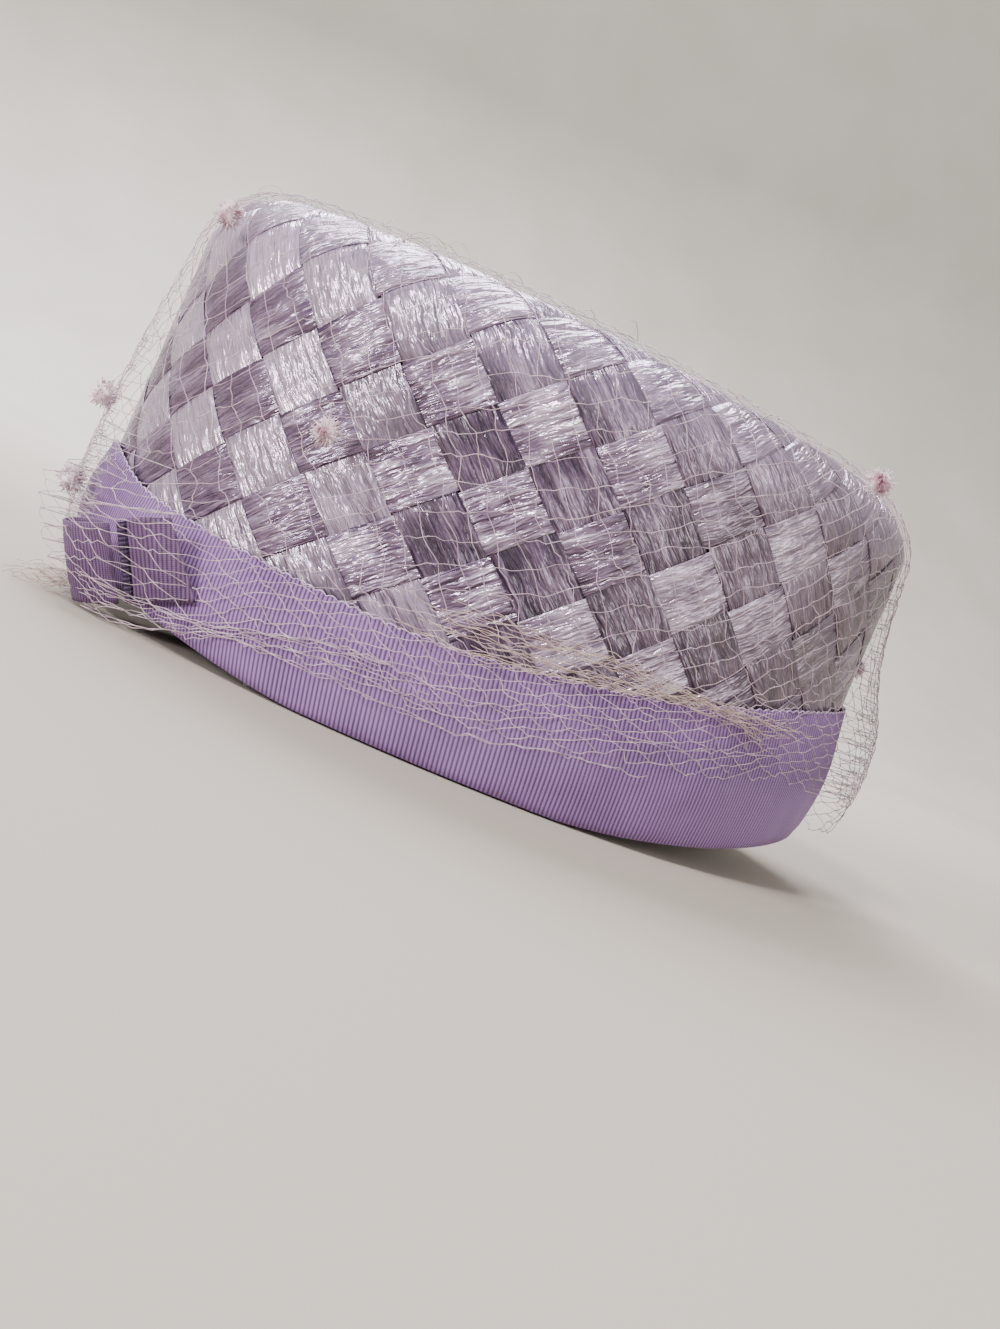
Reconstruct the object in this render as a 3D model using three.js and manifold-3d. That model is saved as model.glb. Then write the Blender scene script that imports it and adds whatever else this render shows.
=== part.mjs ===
// Pillbox hat: an oval crown of wide straw strips woven on the diagonal, a grosgrain band with a small bow,
// and a loose net veil with chenille dots. Millimetres, +Z up, the front of the hat towards -Y.
import * as THREE from "three";
import Module from "manifold-3d";
import { mergeVertices } from "three/addons/utils/BufferGeometryUtils.js";

const wasm = await Module();
wasm.setup();

// Crown
const CROWN_LENGTH = 201; // front to back over the straw, at the rim
const CROWN_WIDTH = 174; // side to side over the straw, at the rim
const CROWN_HEIGHT = 105; // middle of the top above the table
const WALL_LEAN = 0.016; // how far the wall leans in, for each unit of height
const SHOULDER_RADIUS = 16;
const SHOULDER_TURN_IN = 5; // shoulder weave that lies flat on the top, up to the tip
const TOP_SLOPE = 0.04; // fall of the top from front to back, for each unit of length
const SLOPE_START = 0.72; // share of the height from which the slope comes in
const STRAW_THICKNESS = 1.6;

// Rim: flat along both sides, lifted a little at the front and at the back
const RIM_FLAT_FRONT = 45;
const RIM_FLAT_BACK = 17;
const RIM_LIFT_FRONT = 9.5;
const RIM_LIFT_BACK = 15;
const RIM_LIFT_FADE = 28; // height over which the weave takes up the lift
const RIM_LIFT_POWER = 1.5; // how gently the lift starts past the flat stretch

// Weave
const STRIPS_EACH_WAY = 25;
const ROW_PITCH = 10.5; // height of half a diamond
const ROW_HEIGHT = 70.2; // a level row of corners that the others are counted from
const WEAVE_START = -1.69; // place of the first corner round the oval, in half diamonds
const STRIP_RELIEF = 1.0; // how far a strip stands up where it lies over
const TIP_STRIP_WIDTH = 16;
const TIP_RELIEF = 0.8;
const PILLOW_START = 0.26; // share of a strip's visible length where it has come up
const PILLOW_INSET = 0.04; // share of a diamond by which a raised edge draws in
const SHOULDER_FACETS = 3; // flat steps of the lining round the shoulder

// Ribbon band
const RIBBON_THICKNESS = 1.0;
const BAND_HEIGHT = 49; // at the back, where it is tallest
const BAND_BULGE = 2.0; // how far the band swells between its two edges
const BAND_FOLD = 13; // height of the part turned up inside the rim
const BAND_CORNER = 1.2;
const BAND_FACETS = 75; // flat steps round the oval
const FOLD_CLEARANCE = 0.5;
const CLEARANCE = 0.3;

// Height of the band's top edge, as shares of BAND_HEIGHT, at shares of the half length
const BAND_TOP = [
  { along: -1.0, height: 0.76 },
  { along: -0.9, height: 0.62 },
  { along: -0.7, height: 0.57 },
  { along: -0.4, height: 0.54 },
  { along: -0.2, height: 0.55 },
  { along: 0.0, height: 0.6 },
  { along: 0.25, height: 0.68 },
  { along: 0.5, height: 0.8 },
  { along: 0.75, height: 0.92 },
  { along: 1.0, height: 1.0 },
];

// Bow at the front left
const BOW_TURN = 0.839; // place round the oval, as a share of a turn from the left side
const BOW_HEIGHT = 15; // middle of the knot above the table
const BOW_RIBBON_WIDTH = 19;
const BOW_TILT = 26; // degrees by which the top edge leans out
const BOW_RISE = 14; // degrees by which the near end is raised
const KNOT_WIDTH = 2.2;
const KNOT_DEPTH = 3;
const LOOP_LENGTH = 15.5;
const LOOP_DEPTH = 6.5;
const TAIL_TOP_LENGTH = 10;
const TAIL_LOW_LENGTH = 15.5;
const TAIL_END_TILT = 22; // degrees by which the tail's end still leans out
const TAIL_RISE = 24; // degrees by which the tail climbs along the band

// Veil
const NET_COLUMNS = 24;
const NET_START = 1; // place of the first crossing round the oval, in half meshes
const NET_ROWS = 6;
const NET_THICKNESS = 1.0;
const NET_BAR = 0.14; // share of a mesh taken by the cord on each side
const NET_EDGE_HEIGHT = 12; // lower edge above the table at the front left
const NET_EDGE_RISE = 11; // how much higher it is at the back
const NET_EDGE_WAVE = 1.5;
const NET_EDGE_WAVES = 6;
const NET_BOW_LIFT = 22; // how far the lower edge is lifted over the bow
const NET_BOW_SPREAD = 0.055; // share of a turn
const NET_TURN_IN = 24; // reach of the net over the top, past the shoulder
const NET_TOP_STAND = 3; // gap between the net and the straw on the top
const NET_SHOULDER_STAND = 1.8; // how much further off it stands as it rounds the shoulder
const NET_CLEARANCE = 0.5;

// Where the net puffs out: place round the oval and its spread as shares of a turn,
// height and its spread as shares of CROWN_HEIGHT, depth as a share of SHOULDER_RADIUS
const NET_PUFFS = [
  { turn: 0.75, spread: 0.09, height: 0.5, tall: 0.3, depth: 0.28 },
  { turn: 0.24, spread: 0.1, height: 0.4, tall: 0.26, depth: 0.5 },
];

// Chenille dots on the cords of the net: the crossing below each, by column from the left side and row up
// from the lower edge, and the share of the way up to the next crossing, to the right (1) or to the left (-1)
const DOT_RADIUS = 2.8;
const DOTS = [
  { column: 42, row: 2, share: 0, way: 1 },
  { column: 37, row: 3, share: 0.6, way: 1 },
  { column: 36, row: 0, share: 0.25, way: 1 },
  { column: 37, row: 1, share: 0.44, way: -1 },
  { column: 4, row: 4, share: 0, way: 1 },
  { column: 12, row: 2, share: 0, way: 1 },
  { column: 20, row: 4, share: 0, way: 1 },
  { column: 29, row: 3, share: 0, way: 1 },
];

const HALF_LENGTH = CROWN_LENGTH / 2;
const HALF_WIDTH = CROWN_WIDTH / 2;
const WEAVE_STEPS = 2 * STRIPS_EACH_WAY;
const WALL_TOP = CROWN_HEIGHT - SHOULDER_RADIUS;
const QUARTER = Math.PI / 2;
const SHOULDER_END = WALL_TOP + SHOULDER_RADIUS * QUARTER;
const SIDE_START = RIBBON_THICKNESS + CLEARANCE;
const SIDE_END = SHOULDER_END + SHOULDER_TURN_IN;

// The oval, measured along its edge so that the weave keeps even steps
const OVAL_SAMPLES = 720;
const ovalArc = [0];
for (let i = 1; i <= OVAL_SAMPLES; i++) {
  const before = (2 * Math.PI * (i - 1)) / OVAL_SAMPLES;
  const here = (2 * Math.PI * i) / OVAL_SAMPLES;
  const dx = HALF_WIDTH * (Math.cos(here) - Math.cos(before));
  const dy = HALF_LENGTH * (Math.sin(here) - Math.sin(before));
  ovalArc.push(ovalArc[i - 1] + Math.hypot(dx, dy));
}
const GIRTH = ovalArc[OVAL_SAMPLES];

function ovalAngle(turn) {
  const wanted = (turn - Math.floor(turn)) * GIRTH;
  let low = 0;
  let high = OVAL_SAMPLES;
  while (high - low > 1) {
    const middle = (low + high) >> 1;
    if (ovalArc[middle] <= wanted) low = middle;
    else high = middle;
  }
  const part = (wanted - ovalArc[low]) / (ovalArc[high] - ovalArc[low]);
  return (2 * Math.PI * (low + part)) / OVAL_SAMPLES;
}

// A point beside the oval: turn is the share of a turn from the left side, out is measured square to the edge
function ovalPoint(turn, out, height) {
  const angle = ovalAngle(turn);
  const normal = new THREE.Vector2(Math.cos(angle) / HALF_WIDTH, Math.sin(angle) / HALF_LENGTH).normalize();
  const x = HALF_WIDTH * Math.cos(angle) + normal.x * out;
  const y = HALF_LENGTH * Math.sin(angle) + normal.y * out;
  return new THREE.Vector3(x, y, height);
}

function alongShare(turn) {
  return Math.sin(ovalAngle(turn));
}

function rimLift(turn) {
  const y = alongShare(turn) * HALF_LENGTH;
  if (y > RIM_FLAT_BACK) {
    return RIM_LIFT_BACK * ((y - RIM_FLAT_BACK) / (HALF_LENGTH - RIM_FLAT_BACK)) ** RIM_LIFT_POWER;
  }
  if (y < -RIM_FLAT_FRONT) {
    return RIM_LIFT_FRONT * ((-y - RIM_FLAT_FRONT) / (HALF_LENGTH - RIM_FLAT_FRONT)) ** RIM_LIFT_POWER;
  }
  return 0;
}

const bandTopCurve = new THREE.SplineCurve(
  BAND_TOP.map((row) => new THREE.Vector2(row.along, row.height * BAND_HEIGHT)),
);

function bandTop(turn) {
  const along = alongShare(turn);
  let low = 0;
  let high = 1;
  for (let i = 0; i < 24; i++) {
    const middle = (low + high) / 2;
    if (bandTopCurve.getPoint(middle).x < along) low = middle;
    else high = middle;
  }
  return bandTopCurve.getPoint(low).y;
}

// A point on the crown's surface: rise is measured up the wall, over the shoulder and in along the top
function crownPoint(turn, rise, out) {
  const bend = THREE.MathUtils.clamp((rise - WALL_TOP) / SHOULDER_RADIUS, 0, QUARTER);
  const flat = Math.max(0, rise - SHOULDER_END);
  const lean = WALL_LEAN * Math.min(rise, WALL_TOP);
  const inset = lean + SHOULDER_RADIUS * (1 - Math.cos(bend)) + flat;
  const height = Math.min(rise, WALL_TOP) + SHOULDER_RADIUS * Math.sin(bend);
  const point = ovalPoint(turn, out * Math.cos(bend) - inset, height + out * Math.sin(bend));
  const lift = rimLift(turn) * (1 - THREE.MathUtils.clamp((height - SIDE_START) / RIM_LIFT_FADE, 0, 1));
  const slope = THREE.MathUtils.smoothstep(height, CROWN_HEIGHT * SLOPE_START, CROWN_HEIGHT);
  point.z += lift - TOP_SLOPE * point.y * slope;
  return point;
}

// Loose triangles, joined into one closed skin
class Skin {
  constructor() {
    this.corners = [];
  }

  triangle(a, b, c) {
    this.corners.push(a, b, c);
  }

  quad(a, b, c, d) {
    this.triangle(a, b, c);
    this.triangle(a, c, d);
  }

  geometry() {
    const open = new THREE.BufferGeometry().setFromPoints(this.corners);
    return mergeVertices(open, 1e-4);
  }
}

// A wall between two grids of points with the same rows; seen from outside, columns run on to the right
function wallGeometry(outer, inner, columns, rows, closed) {
  const skin = new Skin();
  for (let i = 0; i < columns; i++) {
    const next = closed ? (i + 1) % columns : i + 1;
    for (let j = 0; j < rows; j++) {
      skin.quad(outer(i, j), outer(next, j), outer(next, j + 1), outer(i, j + 1));
      skin.quad(inner(i, j), inner(i, j + 1), inner(next, j + 1), inner(next, j));
    }
    skin.quad(outer(i, 0), inner(i, 0), inner(next, 0), outer(next, 0));
    skin.quad(outer(i, rows), outer(next, rows), inner(next, rows), inner(i, rows));
  }
  for (let j = 0; j < rows && !closed; j++) {
    skin.quad(outer(0, j), outer(0, j + 1), inner(0, j + 1), inner(0, j));
    skin.quad(outer(columns, j), inner(columns, j), inner(columns, j + 1), outer(columns, j + 1));
  }
  return skin.geometry();
}

// One strip end lying over its neighbours: firstEdge and secondEdge give points along its two free edges.
// The tile rises from the corners to its full relief, and small walls close it down to the corner lines.
function addPillow(skin, firstEdge, secondEdge, flipped) {
  const shares = [0, PILLOW_START, 1 - PILLOW_START, 1];
  const face = flipped ? (a, b, c) => skin.triangle(a, c, b) : (a, b, c) => skin.triangle(a, b, c);
  for (let k = 0; k < shares.length - 1; k++) {
    face(firstEdge(shares[k]), secondEdge(shares[k]), secondEdge(shares[k + 1]));
    face(firstEdge(shares[k]), secondEdge(shares[k + 1]), firstEdge(shares[k + 1]));
  }
  face(firstEdge(0), firstEdge(shares[1]), firstEdge(shares[2]));
  face(firstEdge(0), firstEdge(shares[2]), firstEdge(1));
  face(secondEdge(1), secondEdge(shares[2]), secondEdge(shares[1]));
  face(secondEdge(1), secondEdge(shares[1]), secondEdge(0));
}

// Points along a free edge, from corner to corner, drawn in towards the facing edge where the strip is raised
function raisedEdge(from, to, facingFrom, facingTo, place, relief) {
  return (share) => {
    const raised = share > 0 && share < 1;
    const draw = raised ? PILLOW_INSET : 0;
    const own = from.clone().lerp(to, share);
    const facing = facingFrom.clone().lerp(facingTo, share);
    const spot = own.lerp(facing, draw);
    return place(spot.x, spot.y, raised ? relief : 0);
  };
}

const lowestRow = -Math.ceil((ROW_HEIGHT - SIDE_START) / ROW_PITCH);
const shoulderRow = Math.round((WALL_TOP - ROW_HEIGHT) / ROW_PITCH);
const highestRow = Math.round((SIDE_END - ROW_HEIGHT) / ROW_PITCH);
const SHOULDER_START = ROW_HEIGHT + shoulderRow * ROW_PITCH;

function weavePoint(step, rise, out) {
  return crownPoint((step + WEAVE_START) / WEAVE_STEPS, rise, out);
}

// One ring of the woven crown, between two rows at the rises start and end, which close it with half diamonds
function wovenRing(firstRow, lastRow, start, end) {
  const skin = new Skin();
  const rowRise = (row) => {
    if (row === firstRow) return start;
    if (row === lastRow) return end;
    return ROW_HEIGHT + row * ROW_PITCH;
  };
  const corner = (step, row) => new THREE.Vector2(step, rowRise(row));
  const isCorner = (step, row) => (step + row) % 2 === 0;
  for (let row = firstRow; row <= lastRow; row++) {
    for (let step = 0; step < WEAVE_STEPS; step++) {
      if (isCorner(step, row)) continue;
      const left = corner(step - 1, row);
      const right = corner(step + 1, row);
      if (row === firstRow || row === lastRow) {
        const up = row === firstRow ? 1 : -1;
        const peak = corner(step, row + up);
        const sides = up > 0 ? [left, right] : [right, left];
        const outerSides = sides.map((side) => weavePoint(side.x, side.y, 0));
        const middle = weavePoint(step, left.y, 0);
        const outerPeak = weavePoint(peak.x, peak.y, 0);
        skin.triangle(outerSides[0], middle, outerPeak);
        skin.triangle(middle, outerSides[1], outerPeak);
        continue;
      }
      const top = corner(step, row + 1);
      const low = corner(step, row - 1);
      const risingOver = row % 2 !== 0;
      if (risingOver) {
        const first = raisedEdge(left, top, low, right, weavePoint, STRIP_RELIEF);
        const second = raisedEdge(low, right, left, top, weavePoint, STRIP_RELIEF);
        addPillow(skin, first, second, false);
      } else {
        const first = raisedEdge(left, low, top, right, weavePoint, STRIP_RELIEF);
        const second = raisedEdge(top, right, left, low, weavePoint, STRIP_RELIEF);
        addPillow(skin, first, second, true);
      }
    }
  }
  const bends = [WALL_TOP / 2, WALL_TOP];
  for (let k = 1; k <= SHOULDER_FACETS; k++) {
    bends.push(WALL_TOP + (SHOULDER_RADIUS * QUARTER * k) / SHOULDER_FACETS);
  }
  const lining = [start, ...bends.filter((rise) => rise > start + CLEARANCE && rise < end - CLEARANCE), end];
  const outer = (step, rise) => weavePoint(step, rise, 0);
  const inner = (step, rise) => weavePoint(step, rise, -STRAW_THICKNESS);
  for (let step = 0; step < WEAVE_STEPS; step++) {
    const next = step + 1;
    for (let k = 1; k < lining.length; k++) {
      const [below, above] = [lining[k - 1], lining[k]];
      skin.quad(inner(step, below), inner(step, above), inner(next, above), inner(next, below));
    }
    skin.quad(outer(step, start), inner(step, start), inner(next, start), outer(next, start));
    skin.quad(outer(step, end), outer(next, end), inner(next, end), inner(step, end));
  }
  return skin.geometry();
}

function toManifold(geometry) {
  const merged = mergeVertices(geometry, 1e-4);
  return new wasm.Manifold(
    new wasm.Mesh({
      numProp: 3,
      vertProperties: new Float32Array(merged.attributes.position.array),
      triVerts: new Uint32Array(merged.index.array),
    }),
  );
}

function fromManifold(solid) {
  const mesh = solid.getMesh();
  const geometry = new THREE.BufferGeometry();
  geometry.setAttribute("position", new THREE.BufferAttribute(new Float32Array(mesh.vertProperties), 3));
  geometry.setIndex(new THREE.BufferAttribute(new Uint32Array(mesh.triVerts), 1));
  return geometry;
}

// Flat woven top, a square weave cut to the oval that the side leaves open
function crownTip() {
  const weave = new Skin();
  const inset = WALL_LEAN * WALL_TOP + SHOULDER_RADIUS + SHOULDER_TURN_IN;
  const tilesAcross = (half) => 2 * Math.ceil((half - inset) / TIP_STRIP_WIDTH - 0.5) + 1;
  const tilesWide = tilesAcross(HALF_WIDTH);
  const tilesLong = tilesAcross(HALF_LENGTH);
  const left = (-tilesWide * TIP_STRIP_WIDTH) / 2;
  const front = (-tilesLong * TIP_STRIP_WIDTH) / 2;
  const place = (x, y, out) => new THREE.Vector3(x, y, CROWN_HEIGHT + out);
  const under = (x, y) => new THREE.Vector3(x, y, CROWN_HEIGHT - STRAW_THICKNESS);
  for (let i = 0; i < tilesWide; i++) {
    for (let j = 0; j < tilesLong; j++) {
      const near = new THREE.Vector2(left + i * TIP_STRIP_WIDTH, front + j * TIP_STRIP_WIDTH);
      const far = near.clone().addScalar(TIP_STRIP_WIDTH);
      const nearRight = new THREE.Vector2(far.x, near.y);
      const farLeft = new THREE.Vector2(near.x, far.y);
      if ((i + j) % 2 === 0) {
        const first = raisedEdge(near, nearRight, farLeft, far, place, TIP_RELIEF);
        const second = raisedEdge(farLeft, far, near, nearRight, place, TIP_RELIEF);
        addPillow(weave, first, second, true);
      } else {
        const first = raisedEdge(near, farLeft, nearRight, far, place, TIP_RELIEF);
        const second = raisedEdge(nearRight, far, near, farLeft, place, TIP_RELIEF);
        addPillow(weave, first, second, false);
      }
      weave.quad(under(near.x, near.y), under(near.x, far.y), under(far.x, far.y), under(far.x, near.y));
    }
  }
  const closeSide = (x0, y0, x1, y1) => {
    weave.quad(under(x0, y0), under(x1, y1), place(x1, y1, 0), place(x0, y0, 0));
  };
  for (let i = 0; i < tilesWide; i++) {
    const x0 = left + i * TIP_STRIP_WIDTH;
    closeSide(x0, front, x0 + TIP_STRIP_WIDTH, front);
    closeSide(x0 + TIP_STRIP_WIDTH, -front, x0, -front);
  }
  for (let j = 0; j < tilesLong; j++) {
    const y0 = front + j * TIP_STRIP_WIDTH;
    closeSide(left, y0 + TIP_STRIP_WIDTH, left, y0);
    closeSide(-left, y0, -left, y0 + TIP_STRIP_WIDTH);
  }
  const cutter = new Skin();
  const edge = (step, height) => {
    const point = crownPoint((step + WEAVE_START) / WEAVE_STEPS, SIDE_END + CLEARANCE, 0);
    return new THREE.Vector3(point.x, point.y, height);
  };
  const below = CROWN_HEIGHT - 2 * STRAW_THICKNESS;
  const above = CROWN_HEIGHT + 2 * TIP_RELIEF;
  for (let step = 0; step < WEAVE_STEPS; step++) {
    cutter.quad(edge(step, below), edge(step + 1, below), edge(step + 1, above), edge(step, above));
    cutter.triangle(edge(step, above), edge(step + 1, above), new THREE.Vector3(0, 0, above));
    cutter.triangle(edge(step + 1, below), edge(step, below), new THREE.Vector3(0, 0, below));
  }
  const cut = toManifold(weave.geometry()).intersect(toManifold(cutter.geometry()));
  const geometry = fromManifold(cut);
  const position = geometry.attributes.position;
  for (let k = 0; k < position.count; k++) {
    position.setZ(k, position.getZ(k) - TOP_SLOPE * position.getY(k));
  }
  return geometry;
}

// Ribbon band, from the part turned up inside, under the rim and up the outside
const FACE_SHARES = [0.3, 0.65, 1]; // rows of the outer face, as shares of its height
const GROOVE_INSIDE = -(STRAW_THICKNESS + FOLD_CLEARANCE);
const GROOVE_OUTSIDE = STRIP_RELIEF + CLEARANCE;
const BAND_INSIDE = GROOVE_INSIDE - RIBBON_THICKNESS;
const BAND_OUTSIDE = GROOVE_OUTSIDE + RIBBON_THICKNESS;

function bandPoint(turn, out, height) {
  return ovalPoint(turn, out - WALL_LEAN * height, height);
}

function ribbonBand() {
  const steps = BAND_FACETS;
  const corner = BAND_CORNER;
  const facePoint = (turn, share, out) => {
    const low = rimLift(turn);
    const bulge = BAND_BULGE * Math.sin(Math.PI * share);
    return bandPoint(turn, out + bulge, low + (bandTop(turn) - low) * share);
  };
  const outside = (i, j) => {
    const turn = i / steps;
    const low = rimLift(turn);
    if (j === 0) return bandPoint(turn, BAND_INSIDE, low + BAND_FOLD);
    if (j === 1) return bandPoint(turn, BAND_INSIDE, low + corner);
    if (j === 2) return bandPoint(turn, BAND_INSIDE + corner, low);
    if (j === 3) return bandPoint(turn, BAND_OUTSIDE - corner, low);
    if (j === 4) return bandPoint(turn, BAND_OUTSIDE, low + corner);
    return facePoint(turn, FACE_SHARES[j - 5], BAND_OUTSIDE);
  };
  const inside = (i, j) => {
    const turn = i / steps;
    const low = rimLift(turn);
    const fillet = corner / 3;
    if (j === 0) return bandPoint(turn, GROOVE_INSIDE, low + BAND_FOLD);
    if (j === 1) return bandPoint(turn, GROOVE_INSIDE, low + RIBBON_THICKNESS + fillet);
    if (j === 2) return bandPoint(turn, GROOVE_INSIDE + fillet, low + RIBBON_THICKNESS);
    if (j === 3) return bandPoint(turn, GROOVE_OUTSIDE - fillet, low + RIBBON_THICKNESS);
    if (j === 4) return bandPoint(turn, GROOVE_OUTSIDE, low + RIBBON_THICKNESS + fillet);
    return facePoint(turn, FACE_SHARES[j - 5], GROOVE_OUTSIDE);
  };
  return wallGeometry(outside, inside, steps, 4 + FACE_SHARES.length, true);
}

// Bow: a frame at the band's surface, with x towards the far end, y out from the face and z across the ribbon
const tilt = THREE.MathUtils.degToRad(BOW_TILT);
const bowSeat = (BOW_RIBBON_WIDTH / 2) * Math.sin(tilt) + CLEARANCE;
const bowOut = BAND_OUTSIDE + BAND_BULGE + bowSeat;

function bowFrame() {
  const base = bandPoint(BOW_TURN, bowOut, BOW_HEIGHT);
  const outward = bandPoint(BOW_TURN, bowOut + 1, BOW_HEIGHT).sub(base).normalize();
  const up = new THREE.Vector3(0, 0, 1);
  const rise = THREE.MathUtils.degToRad(BOW_RISE);
  const ribbon = outward.clone().cross(up).applyAxisAngle(outward, rise);
  const across = up.clone().multiplyScalar(Math.cos(tilt)).addScaledVector(outward, Math.sin(tilt));
  across.applyAxisAngle(outward, rise);
  const face = across.clone().cross(ribbon);
  return new THREE.Matrix4().makeBasis(ribbon, face, across).setPosition(base);
}

const bowMatrix = bowFrame();
const bowPoint = (along, out, across) => new THREE.Vector3(along, out, across).applyMatrix4(bowMatrix);

function bowKnot() {
  const half = KNOT_WIDTH / 2;
  const round = KNOT_WIDTH / 3;
  const outline = new THREE.Shape();
  outline.moveTo(-half, 0);
  outline.lineTo(half, 0);
  outline.lineTo(half, KNOT_DEPTH - round);
  outline.absarc(half - round, KNOT_DEPTH - round, round, 0, QUARTER, false);
  outline.lineTo(-half + round, KNOT_DEPTH);
  outline.absarc(-half + round, KNOT_DEPTH - round, round, QUARTER, Math.PI, false);
  outline.closePath();
  const solid = { depth: BOW_RIBBON_WIDTH, bevelEnabled: false, curveSegments: 4 };
  const block = new THREE.ExtrudeGeometry(outline, solid);
  block.translate(0, 0, -BOW_RIBBON_WIDTH / 2);
  return block.applyMatrix4(bowMatrix);
}

function bowLoop() {
  const steps = 20;
  const middle = KNOT_WIDTH / 2 + CLEARANCE + LOOP_LENGTH / 2;
  const edge = (i, j, draw) => {
    const angle = (2 * Math.PI * i) / steps;
    const swell = 0.75 + 0.25 * Math.cos(angle);
    const along = middle + (LOOP_LENGTH / 2 - draw) * Math.cos(angle);
    const out = LOOP_DEPTH / 2 + (LOOP_DEPTH / 2 - draw) * Math.sin(angle) * swell;
    return bowPoint(along, out, (j - 0.5) * BOW_RIBBON_WIDTH);
  };
  return wallGeometry(
    (i, j) => edge(i, j, 0),
    (i, j) => edge(i, j, RIBBON_THICKNESS),
    steps,
    1,
    true,
  );
}

function bowTail() {
  const columns = 6;
  const rows = 3;
  const startAlong = KNOT_WIDTH / 2 + CLEARANCE;
  const climb = Math.sin(THREE.MathUtils.degToRad(TAIL_RISE));
  const slant = Math.sin(THREE.MathUtils.degToRad(BOW_RISE)) * Math.cos(tilt);
  const place = (i, j, thickness) => {
    const across = (j / rows - 0.5) * BOW_RIBBON_WIDTH;
    const reach = THREE.MathUtils.lerp(TAIL_LOW_LENGTH, TAIL_TOP_LENGTH, j / rows);
    const along = startAlong + (reach * i) / columns;
    const leanDegrees = THREE.MathUtils.lerp(BOW_TILT, TAIL_END_TILT, along / TAIL_LOW_LENGTH);
    const lean = THREE.MathUtils.degToRad(leanDegrees);
    const fromLow = across + BOW_RIBBON_WIDTH / 2;
    const out = BAND_OUTSIDE + BAND_BULGE + CLEARANCE + fromLow * Math.sin(lean) + thickness;
    const height = BOW_HEIGHT + across * Math.cos(lean) + along * climb;
    return bandPoint(BOW_TURN + (along - across * slant) / GIRTH, out, height);
  };
  return wallGeometry(
    (i, j) => place(i, j, RIBBON_THICKNESS),
    (i, j) => place(i, j, 0),
    columns,
    rows,
    false,
  );
}

// Veil
const NET_OUT = BAND_OUTSIDE + BAND_BULGE + NET_CLEARANCE;
const NET_END = SHOULDER_END + NET_TURN_IN;
const NET_STEPS = 2 * NET_COLUMNS;

function turnApart(a, b) {
  const apart = Math.abs(a - b) % 1;
  return Math.min(apart, 1 - apart);
}

function netEdge(turn) {
  const towardsBack = (alongShare(turn) + 1) / 2;
  const wave = NET_EDGE_WAVE * Math.sin(2 * Math.PI * NET_EDGE_WAVES * turn);
  const overBow = NET_BOW_LIFT * Math.exp(-((turnApart(turn, BOW_TURN) / NET_BOW_SPREAD) ** 2));
  return NET_EDGE_HEIGHT + NET_EDGE_RISE * towardsBack ** 2 + wave + overBow;
}

function netPuff(turn, rise) {
  let out = 0;
  for (const puff of NET_PUFFS) {
    const aside = turnApart(turn, puff.turn) / puff.spread;
    const above = (rise - puff.height * CROWN_HEIGHT) / (puff.tall * CROWN_HEIGHT);
    out += puff.depth * SHOULDER_RADIUS * Math.exp(-aside * aside - above * above);
  }
  return out;
}

function netPoint(column, row, extra) {
  const turn = (column + NET_START) / NET_STEPS;
  const start = netEdge(turn);
  const rise = THREE.MathUtils.lerp(start, NET_END, row / NET_ROWS);
  const settle = THREE.MathUtils.smoothstep(rise, SHOULDER_END, NET_END);
  const fromShoulder = (rise - (WALL_TOP + SHOULDER_END) / 2) / SHOULDER_RADIUS;
  const shoulder = NET_SHOULDER_STAND * Math.exp(-fromShoulder * fromShoulder);
  const stand = THREE.MathUtils.lerp(NET_OUT, NET_TOP_STAND, settle) + shoulder;
  return crownPoint(turn, rise, stand + netPuff(turn, rise) + extra);
}

function veilNet() {
  const skin = new Skin();
  const both = (faces) => {
    faces((column, row) => netPoint(column, row, NET_THICKNESS), (a, b, c) => skin.triangle(a, b, c));
    faces((column, row) => netPoint(column, row, 0), (a, b, c) => skin.triangle(a, c, b));
  };
  for (let row = 0; row <= NET_ROWS; row++) {
    for (let column = 0; column < NET_STEPS; column++) {
      if ((column + row) % 2 === 0) continue;
      const around = [
        [column - 1, row],
        [column, row - 1],
        [column + 1, row],
        [column, row + 1],
      ];
      const isEnd = row === 0 || row === NET_ROWS;
      if (isEnd) {
        const peak = row === 0 ? around[3] : around[1];
        const first = row === 0 ? around[0] : around[2];
        const last = row === 0 ? around[2] : around[0];
        both((at, face) => {
          face(at(...first), at(column, row), at(...peak));
          face(at(column, row), at(...last), at(...peak));
        });
        const rim = [first, [column, row], last];
        for (let k = 0; k < 2; k++) {
          const a = netPoint(...rim[k], NET_THICKNESS);
          const b = netPoint(...rim[k + 1], NET_THICKNESS);
          const c = netPoint(...rim[k + 1], 0);
          const d = netPoint(...rim[k], 0);
          skin.quad(d, c, b, a);
        }
        continue;
      }
      const hole = around.map(([c, r]) => [
        THREE.MathUtils.lerp(c, column, 2 * NET_BAR),
        THREE.MathUtils.lerp(r, row, 2 * NET_BAR),
      ]);
      for (let k = 0; k < 4; k++) {
        const next = (k + 1) % 4;
        both((at, face) => {
          face(at(...around[k]), at(...around[next]), at(...hole[next]));
          face(at(...around[k]), at(...hole[next]), at(...hole[k]));
        });
        const a = netPoint(...hole[k], NET_THICKNESS);
        const b = netPoint(...hole[next], NET_THICKNESS);
        const c = netPoint(...hole[next], 0);
        const d = netPoint(...hole[k], 0);
        skin.quad(a, b, c, d);
      }
    }
  }
  return skin.geometry();
}

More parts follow.
